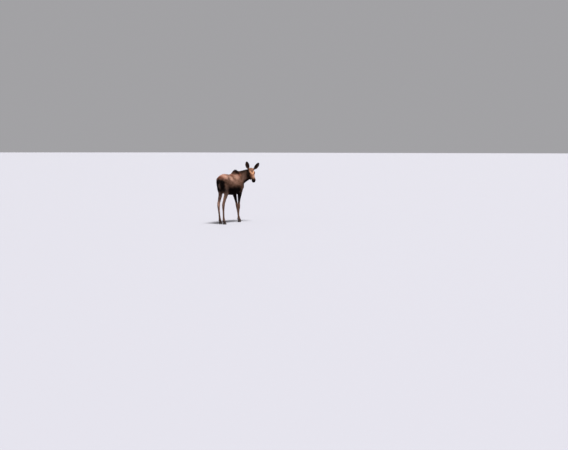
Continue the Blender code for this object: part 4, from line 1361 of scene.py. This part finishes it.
tips, tip_normals = along_skin(1.0)
beyond = np.maximum(length - KEEPS_TO_SKIN, 0)
droop = np.array(UPWARD) * -FREE_DROOP
tips = tips + (directions + tip_normals * FREE_LIFT + droop) * beyond[:, None]
print("tufts on the skin:", len(tips))

# %% [markdown]
# ## Spikes and blades
#
# A short hair tuft hardly bends, so it is a spike: a three-cornered foot and one tip, four faces in
# all. Where the hair is long, on mane, throat, belly and tail, a tuft is a blade with a middle
# ring, so that it can curve. All blades and spikes are closed.

# %% Tufts as joined meshes
BLADE_LENGTH = 0.036  # tufts longer than this are blades
SPIKE_FACES = ((0, 1, 2), (1, 0, 3), (2, 1, 3), (0, 2, 3))
BLADE_FACES = ((0, 1, 2), (1, 0, 3, 4), (2, 1, 4, 5), (0, 2, 5, 3), (4, 3, 6), (5, 4, 6), (3, 5, 6))
FOOT = ((-0.5, -0.5), (0.5, -0.5), (0.0, -0.4))
MIDDLE = ((-0.5, 0.1), (0.5, 0.1), (0.0, 0.1))
SPIKE_PATCH, BLADE_PATCH = (*FOOT, (0.0, 0.5)), (*FOOT, *MIDDLE, (0.0, 0.5))
GRAIN_STRETCH = 0.06  # the grain's steps across a hair over those along it
ROOT_DEPTH = 0.0012  # how far a tuft's foot is sunk in the skin
MOST_TRIANGLES = 200_000  # in one piece
is_blade = length > BLADE_LENGTH


def blade_middles(chosen):
    """The middle of each blade: on its way from root to tip, bowed out from the skin."""
    halfway = roots[chosen] * 0.5 + tips[chosen] * 0.5
    return halfway + root_normals[chosen] * (lift * 0.30 + beyond * 0.08)[chosen, None]


def tuft_corners(chosen, blades):
    """The corners of each chosen tuft: three at the root, three half way up a blade, the tip."""
    across = np.cross(directions[chosen], root_normals[chosen])
    across /= np.linalg.norm(across, axis=1)[:, None]
    wide = across * half_width[chosen, None]
    ridge = root_normals[chosen] * half_width[chosen, None] * 0.6
    base = roots[chosen] - root_normals[chosen] * ROOT_DEPTH
    if not blades:
        return np.stack([base - wide, base + wide, base + 2 * ridge, tips[chosen]], axis=1)
    middle = blade_middles(chosen)
    foot = [base - wide * 0.8, base + wide * 0.8, base + ridge]
    return np.stack([*foot, middle - wide, middle + wide, middle + ridge, tips[chosen]], axis=1)


def tuft_mesh(chosen, blades, masks, place_on_map):
    """Arrays for tufts of one kind: points, faces as loops and starts, map, and point values."""
    faces, patch = (BLADE_FACES, BLADE_PATCH) if blades else (SPIKE_FACES, SPIKE_PATCH)
    count, corners = len(chosen), tuft_corners(chosen, blades)
    per = corners.shape[1]
    shares = np.array((0.0, 0.0, 0.0, 0.5, 0.5, 0.5, 1.0) if blades else (0.0, 0.0, 0.0, 1.0))
    order = np.array([corner for face in faces for corner in face])
    starts = np.cumsum([0] + [len(face) for face in faces[:-1]])
    loops = (order[None] + per * np.arange(count)[:, None]).ravel()
    begins = (starts[None] + len(order) * np.arange(count)[:, None]).ravel()
    flat = place_on_map[:, None] + np.array(patch)[order][None] * PATCH
    values = {key: np.repeat(value[chosen], per) for key, value in masks.items()}
    values |= {"strand": np.repeat(strand[chosen], per), "tip": np.tile(shares, count)}
    values["wet"] = np.zeros(count * per)
    side = np.array((-1, 1, 0, -1, 1, 0, 0) if blades else (-1, 1, 0, 0))
    seed = values["strand"] * 9
    across = (half_width[chosen, None] * side).ravel()
    down = (length[chosen, None] * shares).ravel() * GRAIN_STRETCH
    values["grain"] = np.stack([across + seed, down + seed * 0.7, seed], axis=1)
    return corners.reshape(-1, 3), loops, begins, flat.reshape(-1, 2), values


def keep_vectors(mesh, name, vectors):
    """Stores a vector for each point on a mesh, for its material to read."""
    data = mesh.attributes.new(name, "FLOAT_VECTOR", "POINT").data
    data.foreach_set("vector", np.asarray(vectors, np.float32).ravel())


def coat_piece(name, area, masks):
    """One area's tufts as a single mesh, with its map and the values its material reads."""
    kinds = [np.flatnonzero((root_area == area) & (is_blade == blades)) for blades in (False, True)]
    chosen = np.concatenate(kinds)
    on_map = map_places(area, roots[chosen])
    halves = (on_map[: len(kinds[0])], on_map[len(kinds[0]) :])
    spikes, blades = (tuft_mesh(kinds[i], bool(i), masks, halves[i]) for i in (0, 1))
    spots = np.concatenate([spikes[0], blades[0]])
    loops = np.concatenate([spikes[1], blades[1] + len(spikes[0])])
    begins = np.concatenate([spikes[2], blades[2] + len(spikes[1])])
    mesh = bpy.data.meshes.new(name)
    mesh.vertices.add(len(spots))
    mesh.vertices.foreach_set("co", spots.ravel())
    mesh.loops.add(len(loops))
    mesh.loops.foreach_set("vertex_index", loops.astype(np.int32))
    mesh.polygons.add(len(begins))
    mesh.polygons.foreach_set("loop_start", begins.astype(np.int32))
    mesh.update(calc_edges=True)
    flat = np.concatenate([spikes[3], blades[3]])
    mesh.uv_layers.new(name="OFBake").data.foreach_set("uv", flat.ravel())
    values = {key: np.concatenate([spikes[4][key], blades[4][key]]) for key in spikes[4]}
    keep_vectors(mesh, "grain", values.pop("grain"))
    keep_values(mesh, values)
    mesh.shade_smooth()
    made = bpy.data.objects.new(name, mesh)
    bpy.context.scene.collection.objects.link(made)
    triangles = 4 * len(kinds[0]) + 10 * len(kinds[1])
    assert triangles < MOST_TRIANGLES, name
    print(name, len(kinds[0]), "spikes", len(kinds[1]), "blades", triangles, "triangles")
    return made, triangles


# %% Grow the coat
root_masks = colour_and_light_masks(root_where, root_normals)
root_area = area_of(root_where)
coat, coat_triangles = [], 0
for number, area_name in enumerate(AREAS):
    for right, side_name in enumerate(SIDES):
        name = f"coat_{area_name}_{side_name}"
        made, triangles = coat_piece(name, number * 2 + right, root_masks)
        coat.append(made)
        coat_triangles += triangles
print("coat:", coat_triangles, "triangles")

# %% Values of the skin
main_way = np.where((where.head > 0.5)[:, None], -np.array(ALONG), -np.array(FORWARD))
main_way = np.where((where.leg > 0.5)[:, None], -np.array(UPWARD), main_way)
far_along = np.einsum("ij,ij->i", points, main_way)[:, None]
keep_vectors(hide.data, "grain", points - main_way * (1 - GRAIN_STRETCH) * far_along)
wet = np.zeros(len(points))
for eye, nostril in zip(EYES.values(), NOSTRILS.values()):
    a, u, v = told_by(points, eye)
    near = (np.hypot(u, v) < 0.04) & (np.abs(a) < 0.04)
    wet = np.maximum(wet, ramp(1.7, 1.15, almond(u, v, *LID_OPENING)) * near)
    a, u, v = told_by(points, nostril)
    deep = ramp(1.6, 1.0, (u / NOSTRIL_HALF) ** 2 + (v / 0.013) ** 2)
    wet = np.maximum(wet, deep * (np.abs(a) < 0.05))
keep_values(hide.data, {"wet": wet})

# %% [markdown]
# ## Materials
#
# The coat is guard hair: long scaly shafts of keratin, dry and dusty in summer, so that they shine
# very little and scatter light between them. Its colour comes from the masks. Each tuft is a bit
# lighter or darker than the next, darker at the root and lighter at the tip. A stretched noise
# draws single hairs, 1.2 mm apart. Real ones are a tenth of a millimetre apart, too fine to show,
# so they are drawn coarser.

# %% Colours and nodes
def linear(code):
    """An sRGB hex colour as linear light."""
    parts = [int(code[i : i + 2], 16) / 255 for i in (1, 3, 5)]
    return (*(c / 12.92 if c <= 0.04045 else ((c + 0.055) / 1.055) ** 2.4 for c in parts), 1.0)


def node(tree, kind, inputs=(), output=0, **settings):
    """Adds a node with its settings and links. inputs are (socket, value or socket) pairs."""
    made = tree.nodes.new("ShaderNode" + kind)
    for key, value in settings.items():
        setattr(made, key, value)
    for socket, value in inputs:
        if isinstance(value, bpy.types.NodeSocket):
            tree.links.new(value, made.inputs[socket])
        else:
            made.inputs[socket].default_value = value
    return made.outputs[output]


def new_material(name):
    """A material with its node tree and shader."""
    made = bpy.data.materials.new(name)
    made.use_nodes = True
    return made, made.node_tree, made.node_tree.nodes["Principled BSDF"]


MM = 0.001
SHARE, FIRST, SECOND = 0, 6, 7  # a Mix node's sockets for colours
OF_COLOURS = {"data_type": "RGBA", "output": 2}


def layered(tree, colour, layers):
    """Colours laid over each other. A layer: its colour, a value, and its range from and to."""
    for code, *ranged in layers:
        share = node(tree, "MapRange", enumerate(ranged))
        inputs = [(SHARE, share), (FIRST, colour), (SECOND, linear(code))]
        colour = node(tree, "Mix", inputs, **OF_COLOURS)
    return colour


# %% The summer coat
COAT = {
    "ground": "#71503f",  # warm brown guard hair
    "pale": "#d0a591",  # pale hair, and painted sheen where the coat catches the light
    "red": "#8d513e",
    "grey": "#73645e",
    "tan": "#b78660",
    "black": "#120a08",
    "wet": "#0d0807",  # bare skin of nostrils and lid rims
}
HAIR_SPACING = 1.2 * MM
MOTTLE = 55 * MM

summer_coat, tree, shader = new_material("guard_hair_summer_coat")
names = (*MASKS, "wet", "strand", "tip")
kept = {name: node(tree, "Attribute", output="Fac", attribute_name=name) for name in names}
grain = node(tree, "Attribute", output="Vector", attribute_name="grain")
spot = node(tree, "TexCoord", output="Object")
hairs = [("Vector", grain), ("Scale", 1 / HAIR_SPACING), ("Detail", 3.0)]
hairs = node(tree, "TexNoise", hairs)
mottle = node(tree, "TexNoise", [("Vector", spot), ("Scale", 1 / MOTTLE), ("Detail", 4.0)])
colour = layered(tree, linear(COAT["ground"]), [(COAT["pale"], mottle, 0.42, 0.68, 0.0, 0.35)])
for name in ("red", "grey", "tan", "pale", "black", "wet"):
    inputs = [(SHARE, kept[name]), (FIRST, colour), (SECOND, linear(COAT[name]))]
    colour = node(tree, "Mix", inputs, **OF_COLOURS)
by_strand = node(tree, "MapRange", enumerate((kept["strand"], 0.0, 1.0, 0.74, 1.26)))
by_tip = node(tree, "MapRange", enumerate((kept["tip"], 0.0, 1.0, 0.70, 1.16)))
by_hair = node(tree, "MapRange", enumerate((hairs, 0.3, 0.7, 0.72, 1.28)))
bright = node(tree, "Math", enumerate((by_strand, by_tip)), operation="MULTIPLY")
bright = node(tree, "Math", enumerate((bright, by_hair)), operation="MULTIPLY")
colour = node(tree, "HueSaturation", [("Color", colour), ("Value", bright)])
dry = node(tree, "MapRange", enumerate((hairs, 0.3, 0.7, 0.50, 0.72)))
by_wet = node(tree, "MapRange", enumerate((kept["wet"], 0.0, 1.0, 1.0, 0.5)))
rough = node(tree, "Math", enumerate((dry, by_wet)), operation="MULTIPLY")
bumped = node(tree, "Bump", [("Height", hairs), ("Strength", 0.55), ("Distance", 0.7 * MM)])
tree.links.new(colour, shader.inputs["Base Color"])
tree.links.new(rough, shader.inputs["Roughness"])
tree.links.new(bumped, shader.inputs["Normal"])
shader.inputs["IOR"].default_value = 1.55  # keratin
shader.inputs["Specular IOR Level"].default_value = 0.05
shader.inputs["Sheen Weight"].default_value = 0.012
shader.inputs["Sheen Roughness"].default_value = 0.45
shader.inputs["Sheen Tint"].default_value = linear("#e8cfc4")

hide.name = hide.data.name = "skin"
for piece in (hide, *coat):
    piece.data.materials.clear()
    piece.data.materials.append(summer_coat)
    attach(piece, "root")
FLESH = [name for name in frame["nodes"] if not name.startswith(("eye_", "hoof_", "dewclaw_"))]
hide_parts(*FLESH)
print("skin replaces", len(FLESH), "nodes of flesh")

# %% [markdown]
# ## Eyes
#
# A moose has a large dark eye with a pupil that lies crosswise. The ball is turned on the axis
# that it looks along, with a cornea that bulges from it. Its front is divided finely, so that two
# numbers kept on each point, how far from the axis and how far from the pupil, draw a clean iris.
# The cornea is clear wet tissue of index 1.376, which gives the eye its small sharp highlights.

# %% Eyeballs
CORNEA_REACH = math.radians(36)
CORNEA_BULGE = 0.0014
IRIS_RADIUS = 0.0125
PUPIL = (0.0082, 0.0042)  # half length and half height
EYE_GAP = 0.0003  # room between the ball and its socket
AROUND, BANDS = 64, 56
CROWDING = 1.35  # above 1 the bands lie closer at the front


def eyeball(side_name):
    """An eyeball with its cornea, as an object that stands for the CAD ball."""
    place, (out, nose, rise) = EYES[side_name]
    rings, iris, pupil = [], [], []
    for i in range(1, BANDS):
        polar = math.pi * (i / BANDS) ** CROWDING
        bulge = CORNEA_BULGE * max(1 - (polar / CORNEA_REACH) ** 2, 0) ** 1.5
        radius = EYE_RADIUS - EYE_GAP + bulge
        ring = []
        for k in range(AROUND):
            angle = math.tau * k / AROUND
            u = radius * math.sin(polar) * math.cos(angle)
            v = radius * math.sin(polar) * math.sin(angle)
            ring.append(place + out * radius * math.cos(polar) + nose * u + rise * v)
            iris.append(math.hypot(u, v) / IRIS_RADIUS if polar < math.pi / 2 else 2.0)
            pupil.append(math.hypot(u / PUPIL[0], v / PUPIL[1]) if polar < math.pi / 2 else 9.0)
        rings.append(ring)
    made = as_object(f"eyeball_{side_name}", loft(rings))
    made.data.shade_smooth()
    keep_values(made.data, {"iris": iris, "pupil": pupil})
    return made


# %% The wet eye
THREAD = 0.9 * MM
wet_eye, tree, shader = new_material("wet_cornea_dark_iris")
threads = node(tree, "TexNoise", [("Scale", 1 / THREAD), ("Detail", 2.0)])
iris = node(tree, "Attribute", output="Fac", attribute_name="iris")
pupil = node(tree, "Attribute", output="Fac", attribute_name="pupil")
layers = (
    ("#321c11", threads, 0.35, 0.65, 0.0, 1.0),  # threads of the iris
    ("#0c0605", iris, 0.72, 0.98, 0.0, 1.0),  # its dark rim
    ("#2a1c16", iris, 1.02, 1.12, 0.0, 1.0),  # the brown white of the eye
    ("#040303", pupil, 0.92, 1.10, 1.0, 0.0),
)
colour = layered(tree, linear("#24140c"), layers)
tree.links.new(colour, shader.inputs["Base Color"])
shader.inputs["Roughness"].default_value = 0.06
shader.inputs["IOR"].default_value = 1.376
shader.inputs["Specular IOR Level"].default_value = 0.32
for side_name in SIDES:
    ball = eyeball(side_name)
    ball.data.materials.append(wet_eye)
    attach(ball, "root")
    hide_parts(f"eye_{side_name}")

# %% [markdown]
# ## Hooves and dewclaws
#
# Each foot has two long pointed claws with a cleft between them, and two small dewclaws behind. A
# claw is horn that grows down from the coronet, so its wall shows faint level rings. The wall is
# lofted in many rings from the sole up, and each ring is pushed in or out by a fraction of a
# millimetre.

# %% Claws
HOOF_LENGTH, CLAW_WIDTH, CLEFT = 0.135, 0.052, 0.006
# From the sole up: share of the height, of the length and of the width, and how far set back.
CLAW_RINGS = (
    (0.00, 1.00, 1.00, 0.000),
    (0.25, 0.97, 0.98, 0.003),
    (0.70, 0.82, 0.88, 0.016),
    (1.00, 0.68, 0.78, 0.026),
)
CLAW_POINTS = 48
CLAW_AHEAD, CLAW_TAPER = 0.012, 0.45
GAP = 0.0004  # between horn and skin


def claw_outline(length, width):
    """A claw from above, nearly straight along the cleft, with a round heel and a pointed toe."""
    outline = []
    for i in range(CLAW_POINTS):
        turn = math.tau * i / CLAW_POINTS
        ahead, across = math.cos(turn), math.sin(turn)
        bulge = 0.9 * (1 - CLAW_TAPER * max(ahead, 0) ** 2) if across > 0 else 0.1
        outline.append((length / 2 * ahead, width * (0.1 + bulge * rounded(across, 2.5))))
    return outline


def claw(name, limb, side_name, outward):
    """One claw with its growth rings."""
    forward, left = foot_place(limb, side_name)
    middle = on_body(forward, left, 0)
    rows, rings = smoothed(CLAW_RINGS, 10), []
    for number, (lift, length, width, back) in enumerate(rows):
        swell = 1 + 0.010 * math.sin(number * 1.9) * (0 < number < len(rows) - 1)
        ring = []
        size = (HOOF_LENGTH * length * swell, CLAW_WIDTH * width * swell)
        for ahead, across in claw_outline(*size):
            ahead += CLAW_AHEAD - back
            top = CORONET_HEIGHT - GAP + ahead * CORONET_SLOPE
            side = outward * (CLEFT / 2 + max(across, 0.0))
            ring.append(middle + Vector((side, -ahead, -middle.z + max(lift, 0) * top)))
        rings.append(ring)
    return as_object(name, loft(rings))


# %% Dewclaws
DEWCLAW_PLACE = (-0.070, 0.026, 0.110)  # from the foot's middle: forward, outward, up
DEWCLAW_SIZE = (0.017, 0.044)  # radius and length
# From the root: share of the length and of the radius.
DEWCLAW_ROWS = ((0.0, 0.93), (0.25, 1.0), (0.55, 0.86), (0.8, 0.62), (0.93, 0.36), (1.0, 0.12))


def dewclaw(name, limb, side_name, outward):
    """A small blunt claw that points down and back."""
    forward, left = foot_place(limb, side_name)
    back, out, up = DEWCLAW_PLACE
    radius, length = DEWCLAW_SIZE
    middle = on_body(forward + back, left + outward * out, up)
    down = Vector((outward * 0.25, 0.45, -1)).normalized()
    side = LEFTWARD.cross(down).normalized()
    across = down.cross(side)
    rings = []
    for share, size in smoothed(DEWCLAW_ROWS, 4):
        place = middle + down * length * (share - 0.5)
        wide, thick = radius * size * 0.92, radius * size * 0.8
        rings.append(section(place, across, side, wide, thick, thick))
    return as_object(name, loft(rings))


# %% Horn
# Horn is keratin grown in one piece: nearly black, half matt, with stains, long fibres and rings.
RING_SPACING, STAIN, FIBRE = 5 * MM, 14 * MM, 1.5 * MM
horn, tree, shader = new_material("grown_horn_dark")
spot = node(tree, "TexCoord", output="Object")
stains = node(tree, "TexNoise", [("Vector", spot), ("Scale", 1 / STAIN), ("Detail", 5.0)])
stretched = node(tree, "Mapping", [("Vector", spot), ("Scale", (1.0, 1.0, 0.08))])
fibres = node(tree, "TexNoise", [("Vector", stretched), ("Scale", 1 / FIBRE), ("Detail", 2.0)])
height = node(tree, "Attribute", output="Fac", attribute_name="height")
phase = node(tree, "Math", enumerate((height, math.tau / RING_SPACING)), operation="MULTIPLY")
rings_wave = node(tree, "Math", [(0, phase)], operation="SINE")
layers = (
    ("#32281f", stains, 0.38, 0.66, 0.0, 1.0),
    ("#413529", fibres, 0.45, 0.75, 0.0, 0.5),
    ("#15100e", rings_wave, -1.0, 1.0, 0.0, 0.22),
)
relief = node(tree, "Math", enumerate((fibres, rings_wave, 0.6)), operation="MULTIPLY_ADD")
bumped = node(tree, "Bump", [("Height", relief), ("Strength", 0.5), ("Distance", 0.5 * MM)])
rough = node(tree, "MapRange", enumerate((stains, 0.3, 0.7, 0.38, 0.62)))
tree.links.new(layered(tree, linear("#17120f"), layers), shader.inputs["Base Color"])
tree.links.new(rough, shader.inputs["Roughness"])
tree.links.new(bumped, shader.inputs["Normal"])
shader.inputs["IOR"].default_value = 1.55

for limb, side_name in STANCE:
    for half, outward in SIDES.items():
        toe = f"{limb}_{side_name}_{half}"
        made = (
            (claw(f"claw_{toe}", limb, side_name, outward), f"hoof_{toe}_claw"),
            (dewclaw(f"spur_{toe}", limb, side_name, outward), f"dewclaw_{toe}"),
        )
        for piece, cad_node in made:
            keep_values(piece.data, {"height": points_of(piece.data)[:, 2]})
            piece.data.shade_smooth()
            piece.data.materials.append(horn)
            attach(piece, "root")
            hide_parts(cad_node)

# %% [markdown]
# ## Floor, light and camera
#
# A plain pale floor and one strong soft light from high above, a little to the camera's side, as on
# a bright day with the sun behind thin cloud. Two weak ones fill in the front and the rear. The
# camera stands far off, behind the animal's right side, and takes in a wide view, so that the
# moose is small in it.

# %% Floor
ground = bmesh.new()
bmesh.ops.create_grid(ground, x_segments=2, y_segments=2, size=400)
floor = as_object("floor", ground)
pale_floor, tree, shader = new_material("pale_matt_floor")
shader.inputs["Base Color"].default_value = linear("#8c8b91")
shader.inputs["Roughness"].default_value = 0.9
floor.data.materials.append(pale_floor)

# %% Light
world = bpy.data.worlds.new("studio")
bpy.context.scene.world = world
world.use_nodes = True
sky = world.node_tree.nodes["Background"]
sky.inputs["Color"].default_value = linear("#efeef2")
sky.inputs["Strength"].default_value = 0.42


def aim(thing, at):
    """Turns a light or a camera to look at a point."""
    thing.rotation_euler = (at - thing.location).to_track_quat("-Z", "Y").to_euler()


def sun_light(name, place, power, spread_degrees):
    """Parallel light that comes from a place, softened over a wide angle."""
    lamp = bpy.data.lights.new(name, "SUN")
    lamp.energy, lamp.angle = power, math.radians(spread_degrees)
    made = bpy.data.objects.new(name, lamp)
    bpy.context.scene.collection.objects.link(made)
    made.location = place
    aim(made, on_body(0.7, 0, 1.2))


# Name, place on the body, strength, and spread in degrees.
LIGHTS = (
    ("key_light", (-0.2, -1.6, 6.0), 8.2, 16),
    ("front_fill", (5.0, 1.0, 3.0), 0.35, 60),
    ("rear_fill", (-3.8, 3.2, 2.6), 0.6, 60),
)
for name, place, power, spread_degrees in LIGHTS:
    sun_light(name, on_body(*place), power, spread_degrees)

# %% Camera
VIEW_AZIMUTH = math.radians(209)
VIEW_DISTANCE = 30.0
EYE_LEVEL = 2.49
FRAME_WIDTH, FOCAL_LENGTH, OFF_CENTRE = 568, 891, 48.2  # in parts of the frame
ASIDE = math.atan(OFF_CENTRE / FOCAL_LENGTH)
DIP = math.radians(4.94)

camera = bpy.data.cameras.new("camera")
camera.sensor_width = 36.0
camera.lens = camera.sensor_width * FOCAL_LENGTH / FRAME_WIDTH
camera.clip_end = 500
view = bpy.data.objects.new("camera", camera)
bpy.context.scene.collection.objects.link(view)
away = Vector((math.sin(VIEW_AZIMUTH), -math.cos(VIEW_AZIMUTH), 0))
withers = on_body(1.08, 0, 0)
view.location = Vector((withers.x, withers.y, 0)) + away * VIEW_DISTANCE + UPWARD * EYE_LEVEL
level = Matrix.Rotation(-ASIDE, 3, "Z") @ -away
aim(view, view.location + level * math.cos(DIP) - UPWARD * math.sin(DIP))
bpy.context.scene.camera = view
bpy.context.scene.view_settings.view_transform = "Standard"

# %% End
print("the moose is built")
